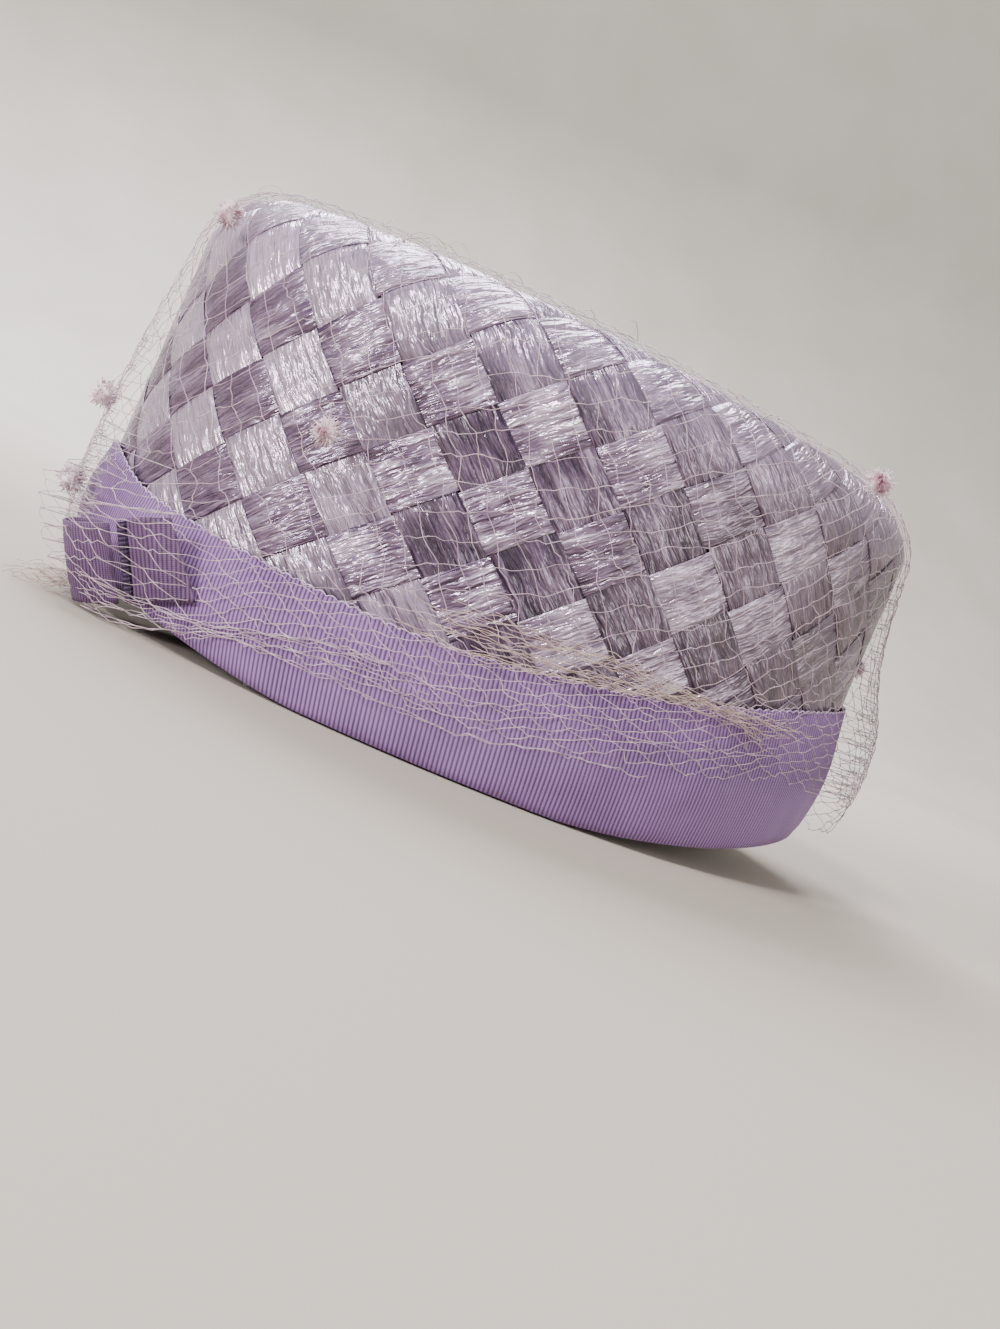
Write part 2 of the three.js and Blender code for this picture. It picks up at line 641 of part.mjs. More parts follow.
function veilDot({ column, row, share, way }) {
  const below = netPoint(column, row, NET_THICKNESS);
  const above = netPoint(column + way, row + 1, NET_THICKNESS);
  const outer = netPoint(column + way * share, row + share, NET_THICKNESS + 1);
  const outward = outer.sub(netPoint(column + way * share, row + share, NET_THICKNESS));
  const centre = below.lerp(above, share).addScaledVector(outward, CLEARANCE + DOT_RADIUS);
  return new THREE.SphereGeometry(DOT_RADIUS, 10, 6).translate(centre.x, centre.y, centre.z);
}

const straw = { color: 0x968796, roughness: 0.35, metalness: 0 };
const ribbon = { color: 0x7f6a94, roughness: 0.7, metalness: 0 };
const net = { color: 0xd7c3cd, roughness: 0.8, metalness: 0 };
const chenille = { color: 0xd9b9c4, roughness: 0.95, metalness: 0 };

const hat = new THREE.Group();
function addPiece(name, geometry, finish) {
  const piece = new THREE.Mesh(geometry, new THREE.MeshStandardMaterial(finish));
  piece.name = name;
  hat.add(piece);
}

const sideEnd = SHOULDER_START - CLEARANCE / 2;
const shoulderStart = SHOULDER_START + CLEARANCE / 2;
addPiece("crown_side", wovenRing(lowestRow, shoulderRow, SIDE_START, sideEnd), straw);
addPiece("crown_shoulder", wovenRing(shoulderRow, highestRow, shoulderStart, SIDE_END), straw);
addPiece("crown_tip", crownTip(), straw);
addPiece("ribbon_band", ribbonBand(), ribbon);
addPiece("bow_knot", bowKnot(), ribbon);
addPiece("bow_loop_far", bowLoop(), ribbon);
addPiece("bow_tail_near", bowTail(), ribbon);
addPiece("veil_net", veilNet(), net);
DOTS.forEach((dot, index) => addPiece(`veil_dot_${index + 1}`, veilDot(dot), chenille));

// The origin is under the middle of the whole hat, on the table
const box = new THREE.Box3().setFromObject(hat);
const middle = box.getCenter(new THREE.Vector3());
hat.position.set(-middle.x, -middle.y, -box.min.z);

export default hat;
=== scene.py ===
"""Looks of the pillbox hat: woven straw strips, a grosgrain band and bow, a fine net veil and chenille dots.

Metres, +Z up, the front of the hat towards -Y, as in the frame. A place round the crown is a turn: 0 at the
wearer's left side (+X), growing towards the back (+Y). A rise is measured up the wall, over the shoulder and
in along the top.
"""

import math
import random

import bmesh
import bpy
import numpy as np
from mathutils import Matrix, Vector, noise


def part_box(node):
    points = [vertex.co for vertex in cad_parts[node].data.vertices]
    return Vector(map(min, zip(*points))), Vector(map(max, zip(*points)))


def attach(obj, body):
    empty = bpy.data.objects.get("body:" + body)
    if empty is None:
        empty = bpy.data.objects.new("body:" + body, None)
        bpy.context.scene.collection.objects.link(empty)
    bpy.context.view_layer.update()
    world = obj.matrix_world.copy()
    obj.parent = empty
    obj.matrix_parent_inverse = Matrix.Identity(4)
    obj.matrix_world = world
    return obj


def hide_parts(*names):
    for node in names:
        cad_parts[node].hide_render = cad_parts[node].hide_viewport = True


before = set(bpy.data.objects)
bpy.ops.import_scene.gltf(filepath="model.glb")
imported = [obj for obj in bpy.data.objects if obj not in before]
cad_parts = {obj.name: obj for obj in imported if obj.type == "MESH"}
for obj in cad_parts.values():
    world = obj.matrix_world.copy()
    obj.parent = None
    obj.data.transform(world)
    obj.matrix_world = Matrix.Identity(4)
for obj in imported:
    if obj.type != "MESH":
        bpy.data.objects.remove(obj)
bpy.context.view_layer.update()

# Crown
CROWN_LENGTH = 0.201
CROWN_WIDTH = 0.174
CROWN_HEIGHT = 0.105
CROWN_AXIS_Y = -0.00132  # how far the crown's middle lies behind the middle of the whole hat
WALL_LEAN = 0.016  # inwards for each part of height
SHOULDER_RADIUS = 0.016
TIP_INSET = 0.009  # how far the side strips run in over the top, under the tip
TOP_SLOPE = 0.04

# Rim
RIM_FLAT_FRONT = 0.045
RIM_FLAT_BACK = 0.017
RIM_LIFT_FRONT = 0.0095
RIM_LIFT_BACK = 0.015
RIM_LIFT_FADE = 0.028
RIM_LIFT_POWER = 1.5

# Straw strips
STRIPS_EACH_WAY = 25
ROW_PITCH = 0.0105
ROW_HEIGHT = 0.0702
WEAVE_START = -1.69
STRIP_FIRST_ROW = -6.2
STRIP_LAST_ROW = 4.9
STRIP_WAVE = 0.00042  # half of the height between over and under
STRIP_SEAT = 0.00045  # middle of the weave above the crown's surface
STRIP_DOME = 0.00016
STRIP_FILL = 0.975  # share of its width that a strip fills
STRIP_WIDTH = 0.0158
STRIP_WIDTH_SPREAD = (-0.03, 0.02)
STRIP_LEAN_SPREAD = (-0.03, 0.03)
STRIP_DRIFT = 0.05  # of a strip's edge, as a share of its width
STRIP_SNAP = 2.4  # how quickly a strip goes from under to over
STRIP_FOLD_HEIGHT = 0.00018
STRAW_GAUGE = 0.00028
FOLD_SIZE = (0.011, 0.0021)  # along and across a strip
FIBRE_SIZE = (0.009, 0.0005)
BLOTCH_SIZE = (0.013, 0.007)
FIBRE_SWAY = 0.0014
TIP_STRIP_WIDTH = 0.016
TIP_LIFT = 0.0007
TIP_OVERLAP = 0.004  # how far the tip lies over the side strips
TIP_EDGE_LIFT = 0.0003

# Ribbon band
BAND_HEIGHT = 0.049
BAND_CUT_WIDTH = 0.06  # with its turned under edge
BAND_BULGE = 0.002
BAND_FOLD = 0.013
BAND_INSIDE = -0.0031
BAND_OUTSIDE = 0.0023
BAND_CORNER = 0.0012
BAND_RIPPLE = 0.0004
BAND_RIPPLES = (23, 7)  # two sets of waves round the hat
BAND_ROWS = 20
SCALLOP_COLUMNS = 4
FOLD_SHARE = 0.2  # of the ribbon's cut width, up to where it is turned
UNDER_SHARE = 0.32  # and up to where the outer face starts
RIBBON_GAUGE = 0.0007
RIB_PITCH = 0.00105
RIB_LEAN = 0.1  # of the band's ribs, sideways for each part of height
THREAD_PITCH = 0.00045
PICOT_RADIUS = 0.00022
SCALLOP_PITCH = 0.0029
SCALLOP_HEIGHT = 0.0006
BAND_TOP = [
    (-1.0, 0.76),
    (-0.9, 0.62),
    (-0.7, 0.57),
    (-0.4, 0.54),
    (-0.2, 0.55),
    (0.0, 0.6),
    (0.25, 0.68),
    (0.5, 0.8),
    (0.75, 0.92),
    (1.0, 1.0),
]

# Bow
BOW_TURN = 0.839
BOW_HEIGHT = 0.015
BOW_RIBBON_WIDTH = 0.019
BOW_TILT = math.radians(26)
BOW_RISE = math.radians(14)
KNOT_WIDTH = 0.0022
KNOT_DEPTH = 0.003
KNOT_WRAP = 0.2  # angle by which the knot goes past half a turn
LOOP_LENGTH = 0.0155
LOOP_DEPTH = 0.0065
TAIL_TOP_LENGTH = 0.010
TAIL_LOW_LENGTH = 0.0155
TAIL_END_TILT = math.radians(22)
TAIL_RISE = math.radians(24)
CLEARANCE = 0.0003

# Veil
CORD_RADIUS = 0.00009
CORD_PIECES = 3  # straight pieces from knot to knot
KNOT_RADIUS = 0.00015
MESH_SIDE = 0.0058
RISING_STEPS = 80  # mesh sides on the way round, along the cords that rise to the right
FALLING_STEPS = 47
RISING_ANGLE = math.radians(27)
FALLING_ANGLE = math.radians(50)
EDGE_STRANDS = 9
BOW_STRANDS = 3
FRAYED_ENDS = 18
LOOSE_LOOPS = 16
VEIL_HEIGHT = 0.15  # of the net with its meshes open, before it is gathered
VEIL_EDGE = [  # lower edge: turn, height above the table
    (0.02, 0.0155),
    (0.08, 0.0215),
    (0.13, 0.0255),
    (0.18, 0.028),
    (0.25, 0.013),
    (0.5, 0.016),
    (0.72, 0.017),
    (0.765, 0.009),
    (0.8, 0.0018),
    (0.825, 0.001),
    (0.845, 0.0008),
    (0.868, 0.0042),
    (0.89, 0.0085),
    (0.94, 0.011),
    (0.98, 0.0125),
]
VEIL_EDGE_WAVE = 0.0008
VEIL_LOWEST = 0.0012  # height above the table that loose strands keep; the net keeps half of it
VEIL_TURN_IN = 0.024
VEIL_OVER_BAND = 0.0046
VEIL_OVER_STRAW = 0.0024
VEIL_SLACK = 0.0005
KNOT_SHIFT = 0.0008
KNOT_ZIGZAG = 0.0004
VEIL_PUFFS = [  # turn, spread, height and tallness as shares of the crown's, depth of the shoulder's radius
    (0.75, 0.09, 0.5, 0.3, 0.28),
    (0.27, 0.07, 0.32, 0.33, 1.05),
    (0.46, 0.06, 0.25, 0.2, 0.3),
]
GATHER_TURN = 0.04  # where the net is caught at the band's top edge
GATHER_SPREAD = 0.09
GATHER_DEPTH = 0.016  # height of net taken up by the gather
BAND_SQUEEZE = 0.55  # of the net's rows over the band
BUNDLE_LINES = 17
BUNDLE_STEP = 0.0026
BUNDLE_KINK = 0.0006

# Chenille dots
DOT_COUNT = 8
DOT_PULL = 0.0075  # how far round a dot the net is lifted to it
DOT_CORE = 0.92  # radius of the core, as a share of the dot's
DOT_FIBRES = 220
DOT_FIBRE_LENGTH = (0.9, 1.55)
DOT_FIBRE_ROOT = 0.00036
DOT_FIBRE_END = 0.00014

# Backdrop
PAPER_NEAR = -2.2  # how far the paper starts before the middle of the floor
PAPER_FAR = 3.4
PAPER_BEND_START = 0.7
PAPER_BEND_END = 2.0
PAPER_BEND_SIZE = 0.8
PAPER_HALF_WIDTH = 3.0
PAPER_SHADE_FADE = (-0.1, -0.8)  # where the floor's painted shade, a darker tone, starts to fade into the wall's tone, and where it has

OVAL_STEPS = 1440
HALF_LENGTH = CROWN_LENGTH / 2
HALF_WIDTH = CROWN_WIDTH / 2
WEAVE_STEPS = 2 * STRIPS_EACH_WAY
WALL_TOP = CROWN_HEIGHT - SHOULDER_RADIUS
QUARTER = math.pi / 2
SHOULDER_END = WALL_TOP + SHOULDER_RADIUS * QUARTER
SIDE_END = SHOULDER_END + TIP_INSET

# Camera
PHOTO_HEIGHT = 1329
FOCAL_PIXELS = 2000
SENSOR = 36.0
CAMERA_PLACE = Vector((0.51826, -0.11407, 0.05521))
CAMERA_RIGHT = Vector((0.19244, 0.89610, 0.39996))
CAMERA_UP = Vector((-0.14850, -0.37629, 0.91453))

rng = random.Random(7)
noise.seed_set(7)


def mix(a, b, share):
    return a + (b - a) * share


def smoothstep(value, low, high):
    share = np.clip((value - low) / (high - low), 0, 1)
    return share * share * (3 - 2 * share)


oval_angles = np.linspace(0, 2 * math.pi, OVAL_STEPS + 1)
oval_x = HALF_WIDTH * np.cos(oval_angles)
oval_y = HALF_LENGTH * np.sin(oval_angles)
oval_arc = np.concatenate(([0], np.cumsum(np.hypot(np.diff(oval_x), np.diff(oval_y)))))
GIRTH = float(oval_arc[-1])


def oval_angle(turn):
    return np.interp(np.mod(turn, 1) * GIRTH, oval_arc, oval_angles)


def oval_point(turn, out, height):
    """Points beside the oval, as rows of x, y, z."""
    turn, out, height = np.broadcast_arrays(turn, out, height)
    angle = oval_angle(turn)
    nx, ny = np.cos(angle) / HALF_WIDTH, np.sin(angle) / HALF_LENGTH
    length = np.hypot(nx, ny)
    x = HALF_WIDTH * np.cos(angle) + nx / length * out
    y = HALF_LENGTH * np.sin(angle) + ny / length * out
    return np.stack((x, y + CROWN_AXIS_Y, height), axis=-1)


def rim_lift(turn):
    y = np.sin(oval_angle(turn)) * HALF_LENGTH
    back = np.clip((y - RIM_FLAT_BACK) / (HALF_LENGTH - RIM_FLAT_BACK), 0, 1)
    front = np.clip((-y - RIM_FLAT_FRONT) / (HALF_LENGTH - RIM_FLAT_FRONT), 0, 1)
    return RIM_LIFT_BACK * back**RIM_LIFT_POWER + RIM_LIFT_FRONT * front**RIM_LIFT_POWER


def spline_table(rows, samples=40):
    """A smooth curve through the rows, the same kind as the band's edge has in the solid."""
    rows = [rows[0], *rows, rows[-1]]
    xs, ys = [], []
    for before, a, b, after in zip(rows, rows[1:], rows[2:], rows[3:]):
        for k in range(samples):
            t = k / samples
            for values, axis in ((xs, 0), (ys, 1)):
                v0, v1 = (b[axis] - before[axis]) / 2, (after[axis] - a[axis]) / 2
                cubic = (2 * a[axis] - 2 * b[axis] + v0 + v1) * t**3
                square = (-3 * a[axis] + 3 * b[axis] - 2 * v0 - v1) * t**2
                values.append(cubic + square + v0 * t + a[axis])
    return np.array([*xs, rows[-1][0]]), np.array([*ys, rows[-1][1]])


band_top_x, band_top_y = spline_table(BAND_TOP)


def band_top(turn):
    return BAND_HEIGHT * np.interp(np.sin(oval_angle(turn)), band_top_x, band_top_y)


def crown_point(turn, rise, out, rim=1.0):
    """Points on the crown's surface, or out from it. With a rim of 0 they don't follow the lifted rim."""
    turn, rise, out = np.broadcast_arrays(turn, rise, out)
    bend = np.clip((rise - WALL_TOP) / SHOULDER_RADIUS, 0, QUARTER)
    flat = np.maximum(0, rise - SHOULDER_END)
    inset = WALL_LEAN * np.minimum(rise, WALL_TOP) + SHOULDER_RADIUS * (1 - np.cos(bend)) + flat
    height = np.minimum(rise, WALL_TOP) + SHOULDER_RADIUS * np.sin(bend)
    points = oval_point(turn, out * np.cos(bend) - inset, height + out * np.sin(bend))
    lift = rim * rim_lift(turn) * (1 - np.clip((height - CLEARANCE) / RIM_LIFT_FADE, 0, 1))
    slope = smoothstep(height, CROWN_HEIGHT * 0.72, CROWN_HEIGHT)
    points[..., 2] += lift - TOP_SLOPE * (points[..., 1] - CROWN_AXIS_Y) * slope
    return points


def crinkle(places, scale, seed):
    """Smooth noise from -1 to 1 at rows of two numbers."""
    return np.array([noise.noise(Vector((a * scale, b * scale, seed))) for a, b in places])


def over_under(wave):
    """A strip's lie from 1, over, to -1, under, level for most of each stretch."""
    return np.tanh(STRIP_SNAP * wave) / math.tanh(STRIP_SNAP)


# Meshes


def add_sheet(bm, columns, rows, place, pattern):
    """Adds a grid whose corner at (u, v), each from 0 to 1, lies at place(u, v), with pattern(u, v) on it."""
    made = bmesh.ops.create_grid(bm, x_segments=columns, y_segments=rows, size=0.5)
    verts = made["verts"]
    spots = np.array([vert.co[:2] for vert in verts]) + 0.5
    points = place(spots[:, 0], spots[:, 1])
    marks = pattern(spots[:, 0], spots[:, 1])
    layer = bm.verts.layers.float_vector["strip_place"]
    for vert, point, mark in zip(verts, points, marks):
        vert.co = point
        vert[layer] = mark
    return verts


def new_sheet_mesh():
    bm = bmesh.new()
    bm.verts.layers.float_vector.new("strip_place")
    return bm


def finish_piece(bm, name, material, smooth=True):
    mesh = bpy.data.meshes.new(name)
    bm.to_mesh(mesh)
    bm.free()
    if smooth:
        mesh.shade_smooth()
    mesh.materials.append(material)
    piece = bpy.data.objects.new(name, mesh)
    bpy.context.scene.collection.objects.link(piece)
    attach(piece, "root")
    return piece


def thicken(piece, gauge, offset=-1):
    solid = piece.modifiers.new("thickness", "SOLIDIFY")
    solid.thickness = gauge
    solid.offset = offset
    return solid


# Materials


def new_material(name):
    material = bpy.data.materials.new(name)
    material.use_nodes = True
    tree = material.node_tree
    return material, tree, tree.nodes["Principled BSDF"]


def fill_inputs(tree, node, inputs):
    """Links each input to the socket given for it, or sets it to the value given."""
    for key, value in inputs.items():
        if isinstance(value, bpy.types.NodeSocket):
            tree.links.new(value, node.inputs[key])
        else:
            node.inputs[key].default_value = value


def add_node(tree, kind, inputs=None, **settings):
    node = tree.nodes.new(kind)
    for key, value in settings.items():
        setattr(node, key, value)
    fill_inputs(tree, node, inputs or {})
    return node


def colour(red, green, blue):
    """A colour given as a screen shows it, 0 to 255."""
    shares = [c / 255 for c in (red, green, blue)]
    return (*[s / 12.92 if s <= 0.04045 else ((s + 0.055) / 1.055) ** 2.4 for s in shares], 1)


def ramp(tree, factor, stops):
    node = add_node(tree, "ShaderNodeValToRGB", {"Fac": factor})
    elements = node.color_ramp.elements
    while len(elements) < len(stops):
        elements.new(0.5)
    for element, (position, tint) in zip(elements, stops):
        element.position = position
        element.color = tint
    return node.outputs["Color"]


def arithmetic(tree, operation, *values):
    """The result of one sum on numbers or sockets."""
    return add_node(tree, "ShaderNodeMath", dict(enumerate(values)), operation=operation).outputs[0]


def ranged(tree, value, low, high, to_low=0.0, to_high=1.0):
    """The value brought from one range to another."""
    limits = {"Value": value, "From Min": low, "From Max": high, "To Min": to_low, "To Max": to_high}
    return add_node(tree, "ShaderNodeMapRange", limits).outputs["Result"]


def speckle(tree, vector, scale, detail, roughness=0.5):
    settings = {"Vector": vector, "Scale": scale, "Detail": detail, "Roughness": roughness}
    return add_node(tree, "ShaderNodeTexNoise", settings).outputs["Fac"]


def blended(tree, share, first, second):
    node = add_node(tree, "ShaderNodeMix", {"Factor": share, 6: first, 7: second}, data_type="RGBA")
    return node.outputs[2]


def new_group(name, vectors, numbers, results):
    """A node group with named vectors and numbers in, and numbers out."""
    group = bpy.data.node_groups.new(name, "ShaderNodeTree")
    for key in vectors:
        group.interface.new_socket(key, in_out="INPUT", socket_type="NodeSocketVector")
    for key in numbers:
        group.interface.new_socket(key, in_out="INPUT", socket_type="NodeSocketFloat")
    for key in results:
        group.interface.new_socket(key, in_out="OUTPUT", socket_type="NodeSocketFloat")
    return group, add_node(group, "NodeGroupInput").outputs, add_node(group, "NodeGroupOutput").inputs


def raffia_group():
    """Crinkled raffia: tone, folds and fibres by the place on a strip, and masks by the spot on the hat:
    towards the back, and for the painted light towards the front and the painted sky sheen over the shoulder
    and top.
    """
    results = ("Tone", "Folds", "Fibres", "To Back", "Front Painted Light", "Top Painted Sheen")
    group, given, wanted = new_group("raffia", ("Place", "Spot"), ("Seed",), results)
    along, straight, strip = add_node(group, "ShaderNodeSeparateXYZ", {"Vector": given["Place"]}).outputs
    drift = arithmetic(group, "SUBTRACT", speckle(group, given["Place"], 170.0, 1.0), 0.5)
    across = arithmetic(group, "MULTIPLY_ADD", drift, FIBRE_SWAY, straight)

    def stretched(size, shift):
        """The place on the strip, for a pattern longer than wide that differs from strip to strip."""
        length, width = size
        seed = arithmetic(group, "ADD", given["Seed"], shift)
        parts = {
            "X": arithmetic(group, "MULTIPLY", along, 1 / length),
            "Y": arithmetic(group, "MULTIPLY", across, 1 / width),
            "Z": arithmetic(group, "MULTIPLY_ADD", strip, 7.31, seed),
        }
        return add_node(group, "ShaderNodeCombineXYZ", parts).outputs[0]

    folds = speckle(group, stretched(FOLD_SIZE, 0.0), 1.0, 2.5, 0.6)
    fibres = speckle(group, stretched(FIBRE_SIZE, 5.0), 1.0, 2.0)
    blotches = speckle(group, stretched(BLOTCH_SIZE, 9.0), 1.0, 2.0)
    own_tone = add_node(group, "ShaderNodeTexWhiteNoise", {"W": strip}, noise_dimensions="1D")
    texture = arithmetic(group, "ADD", folds, fibres)
    texture = arithmetic(group, "MULTIPLY_ADD", blotches, 1.3, texture)
    tone = arithmetic(group, "MULTIPLY_ADD", own_tone.outputs["Value"], 0.4, texture)
    _, y, z = add_node(group, "ShaderNodeSeparateXYZ", {"Vector": given["Spot"]}).outputs
    made = {
        "Tone": ranged(group, tone, 1.35, 2.35),
        "Folds": folds,
        "Fibres": fibres,
        "To Back": ranged(group, y, -0.01, 0.09),
        # masks for painted light: towards the front, and over the shoulder and top
        "Front Painted Light": ranged(group, y, -0.035, -0.085),
        "Top Painted Sheen": ranged(group, z, 0.082, 0.102),
    }
    for key, socket in made.items():
        group.links.new(socket, wanted[key])
    return group


def grosgrain_group():
    """Cross ribs of the ribbon and its fine threads: a painted shade, dark in the grooves and light on the
    crests, and a height from the place on the ribbon.
    """
    group, given, wanted = new_group("grosgrain", ("Place",), ("Rib Pitch",), ("Shade", "Height"))
    length, width, _ = add_node(group, "ShaderNodeSeparateXYZ", {"Vector": given["Place"]}).outputs
    turns = arithmetic(group, "DIVIDE", length, given["Rib Pitch"])
    wave = arithmetic(group, "SINE", arithmetic(group, "MULTIPLY", turns, 2 * math.pi))
    rounded = arithmetic(group, "POWER", ranged(group, wave, -1.0, 1.0), 0.6)
    threads = arithmetic(group, "SINE", arithmetic(group, "MULTIPLY", width, 2 * math.pi / THREAD_PITCH))
    group.links.new(arithmetic(group, "MULTIPLY_ADD", threads, 0.13, rounded), wanted["Shade"])
    group.links.new(arithmetic(group, "MULTIPLY_ADD", threads, 0.12, rounded), wanted["Height"])
    return group


def mottle_group():
    """Soft patches of a spun thread's two tones."""
    group, given, wanted = new_group("mottle", ("Place",), ("Scale",), ("Share",))
    patches = speckle(group, given["Place"], given["Scale"], 2.0)
    group.links.new(ranged(group, patches, 0.35, 0.65), wanted["Share"])
    return group


raffia = raffia_group()
grosgrain = grosgrain_group()
mottle = mottle_group()


def strip_place(tree):
    return add_node(tree, "ShaderNodeAttribute", attribute_name="strip_place").outputs["Vector"]


def object_place(tree):
    return add_node(tree, "ShaderNodeTexCoord").outputs["Object"]


def straw_material(name, dark, middle, light, front, seed):
    """Glossy crinkled raffia: long fibres and folds along the strip, a tone of its own for each strip, greyer
    towards the back, the colour front painted in towards the front as painted light and shade, and a lighter
    lilac painted sky sheen over the shoulder and top.
    """
    material, tree, shader = new_material(name)
    given = {"Place": strip_place(tree), "Spot": object_place(tree), "Seed": seed}
    straw = add_node(tree, "ShaderNodeGroup", node_tree=raffia)
    fill_inputs(tree, straw, given)
    straw = straw.outputs
    tint = ramp(tree, straw["Tone"], [(0.16, dark), (0.5, middle), (0.84, light)])
    tint = blended(tree, arithmetic(tree, "MULTIPLY", straw["To Back"], 0.55), tint, colour(136, 125, 126))
    # painted light towards the front: the strips' glint turned round, given as the colour front
    tint = blended(tree, arithmetic(tree, "MULTIPLY", straw["Front Painted Light"], 0.48), tint, front)
    # painted highlight: a lighter lilac sheen of the sky over the shoulder and top
    tint = blended(tree, arithmetic(tree, "MULTIPLY", straw["Top Painted Sheen"], 0.42), tint, colour(194, 175, 206))
    tree.links.new(tint, shader.inputs["Base Color"])
    tree.links.new(ranged(tree, straw["Fibres"], 0.3, 0.7, 0.13, 0.32), shader.inputs["Roughness"])
    deep = add_node(tree, "ShaderNodeBump", {"Height": straw["Folds"], "Strength": 1.0, "Distance": 0.0026})
    bumps = {"Height": straw["Fibres"], "Strength": 0.5, "Distance": 0.0003, "Normal": deep.outputs[0]}
    fine = add_node(tree, "ShaderNodeBump", bumps)
    tree.links.new(fine.outputs[0], shader.inputs["Normal"])
    shader.inputs["Metallic"].default_value = 0.35
    shader.inputs["Specular IOR Level"].default_value = 1.0
    shader.inputs["IOR"].default_value = 1.6
    return material


def ribbon_material(name, shaded_groove, lit_crest, pitch):
    """Grosgrain: cross ribs with a painted highlight on their crests and painted shade in their grooves, with
    a slow change of tone along the ribbon.
    """
    material, tree, shader = new_material(name)
    place = strip_place(tree)
    ribs = add_node(tree, "ShaderNodeGroup", node_tree=grosgrain)
    fill_inputs(tree, ribs, {"Place": place, "Rib Pitch": pitch})
    tone_and_rib_shade = arithmetic(tree, "MULTIPLY_ADD", speckle(tree, place, 60.0, 3.0), 0.6, ribs.outputs["Shade"])
    # random patches of tone, with painted shade in the rib grooves and a painted highlight on the crests
    tint = ramp(tree, ranged(tree, tone_and_rib_shade, 0.3, 1.35), [(0.0, shaded_groove), (1.0, lit_crest)])
    tree.links.new(tint, shader.inputs["Base Color"])
    bumps = {"Height": ribs.outputs["Height"], "Strength": 0.7, "Distance": 0.0003}
    tree.links.new(add_node(tree, "ShaderNodeBump", bumps).outputs[0], shader.inputs["Normal"])
    shader.inputs["Roughness"].default_value = 0.55
    shader.inputs["Sheen Weight"].default_value = 0.12
    shader.inputs["Sheen Roughness"].default_value = 0.4
    shader.inputs["Sheen Tint"].default_value = colour(215, 195, 225)
    return material


def thread_material(name, dark, light, scale, roughness):
    """Spun thread or chenille: a soft mottled colour."""
    material, tree, shader = new_material(name)
    patches = add_node(tree, "ShaderNodeGroup", node_tree=mottle)
    fill_inputs(tree, patches, {"Place": object_place(tree), "Scale": scale})
    tree.links.new(blended(tree, patches.outputs["Share"], dark, light), shader.inputs["Base Color"])
    shader.inputs["Roughness"].default_value = roughness
    shader.inputs["Sheen Weight"].default_value = 0.3
    return material


# Woven side of the crown


def weave_side(rising):
    """All the strips that rise to the right, or all that fall, each over and under the others in turn."""
    bm = new_sheet_mesh()
    columns, rows = 108, 12
    slant = 1 if rising else -1
    for strip in range(STRIPS_EACH_WAY):
        first = 2 * strip + 1
        seed = strip + (0 if rising else 40)
        width = STRIP_FILL + rng.uniform(*STRIP_WIDTH_SPREAD)
        lean = rng.uniform(*STRIP_LEAN_SPREAD)

        def place(u, v, first=first, seed=seed, width=width, lean=lean):
            row = mix(STRIP_FIRST_ROW, STRIP_LAST_ROW, u)
            share = 2 * v - 1
            drift = crinkle(np.stack((row, v * 0.3), axis=1), 0.8, seed) * STRIP_DRIFT + lean
            across = share * width + drift
            step = first + slant * (row + across / 2)
            up = row - across / 2
            wave = -np.cos(math.pi * row) if rising else np.cos(math.pi * row)
            lie = over_under(wave)
            folds = crinkle(np.stack((row * 1.1, v * 9), axis=1), 1.0, seed + 3.7)
            out = STRIP_SEAT + STRIP_WAVE * lie + STRIP_DOME * (1 - share**2) + STRIP_FOLD_HEIGHT * folds
            rise = np.minimum(ROW_HEIGHT + up * ROW_PITCH, SIDE_END)
            return crown_point((step + WEAVE_START) / WEAVE_STEPS, rise, out)

        def pattern(u, v, seed=seed):
            row = mix(STRIP_FIRST_ROW, STRIP_LAST_ROW, u)
            return np.stack((row * STRIP_WIDTH, (v - 0.5) * STRIP_WIDTH, np.full_like(u, seed)), axis=1)

        verts = add_sheet(bm, columns, rows, place, pattern)
        if rising:
            bmesh.ops.reverse_faces(bm, faces=list({face for vert in verts for face in vert.link_faces}))
    return bm


# Lit and shaded copies of one straw: the rising strips painted lighter and the falling strips painted darker,
# as a painted glint along the fibres. The fourth colour is the painted light towards the front: a painted
# shade on the rising strips and a painted highlight on the falling ones.
straw_rising_painted_light = straw_material(
    "straw_rising_painted_light", colour(58, 36, 64), colour(124, 102, 130), colour(194, 178, 198), colour(92, 72, 94), 1.0
)
straw_falling_painted_light = straw_material(
    "straw_falling_painted_light",
    colour(44, 26, 50),
    colour(92, 70, 98),
    colour(156, 138, 160),
    colour(208, 190, 208),
    21.0,
)
side_rising = finish_piece(weave_side(True), "crown_strips_rising", straw_rising_painted_light)
thicken(side_rising, STRAW_GAUGE)
side_falling = finish_piece(weave_side(False), "crown_strips_falling", straw_falling_painted_light)
thicken(side_falling, STRAW_GAUGE)
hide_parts("crown_side", "crown_shoulder")
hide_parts("crown_side", "crown_shoulder")


# Woven tip


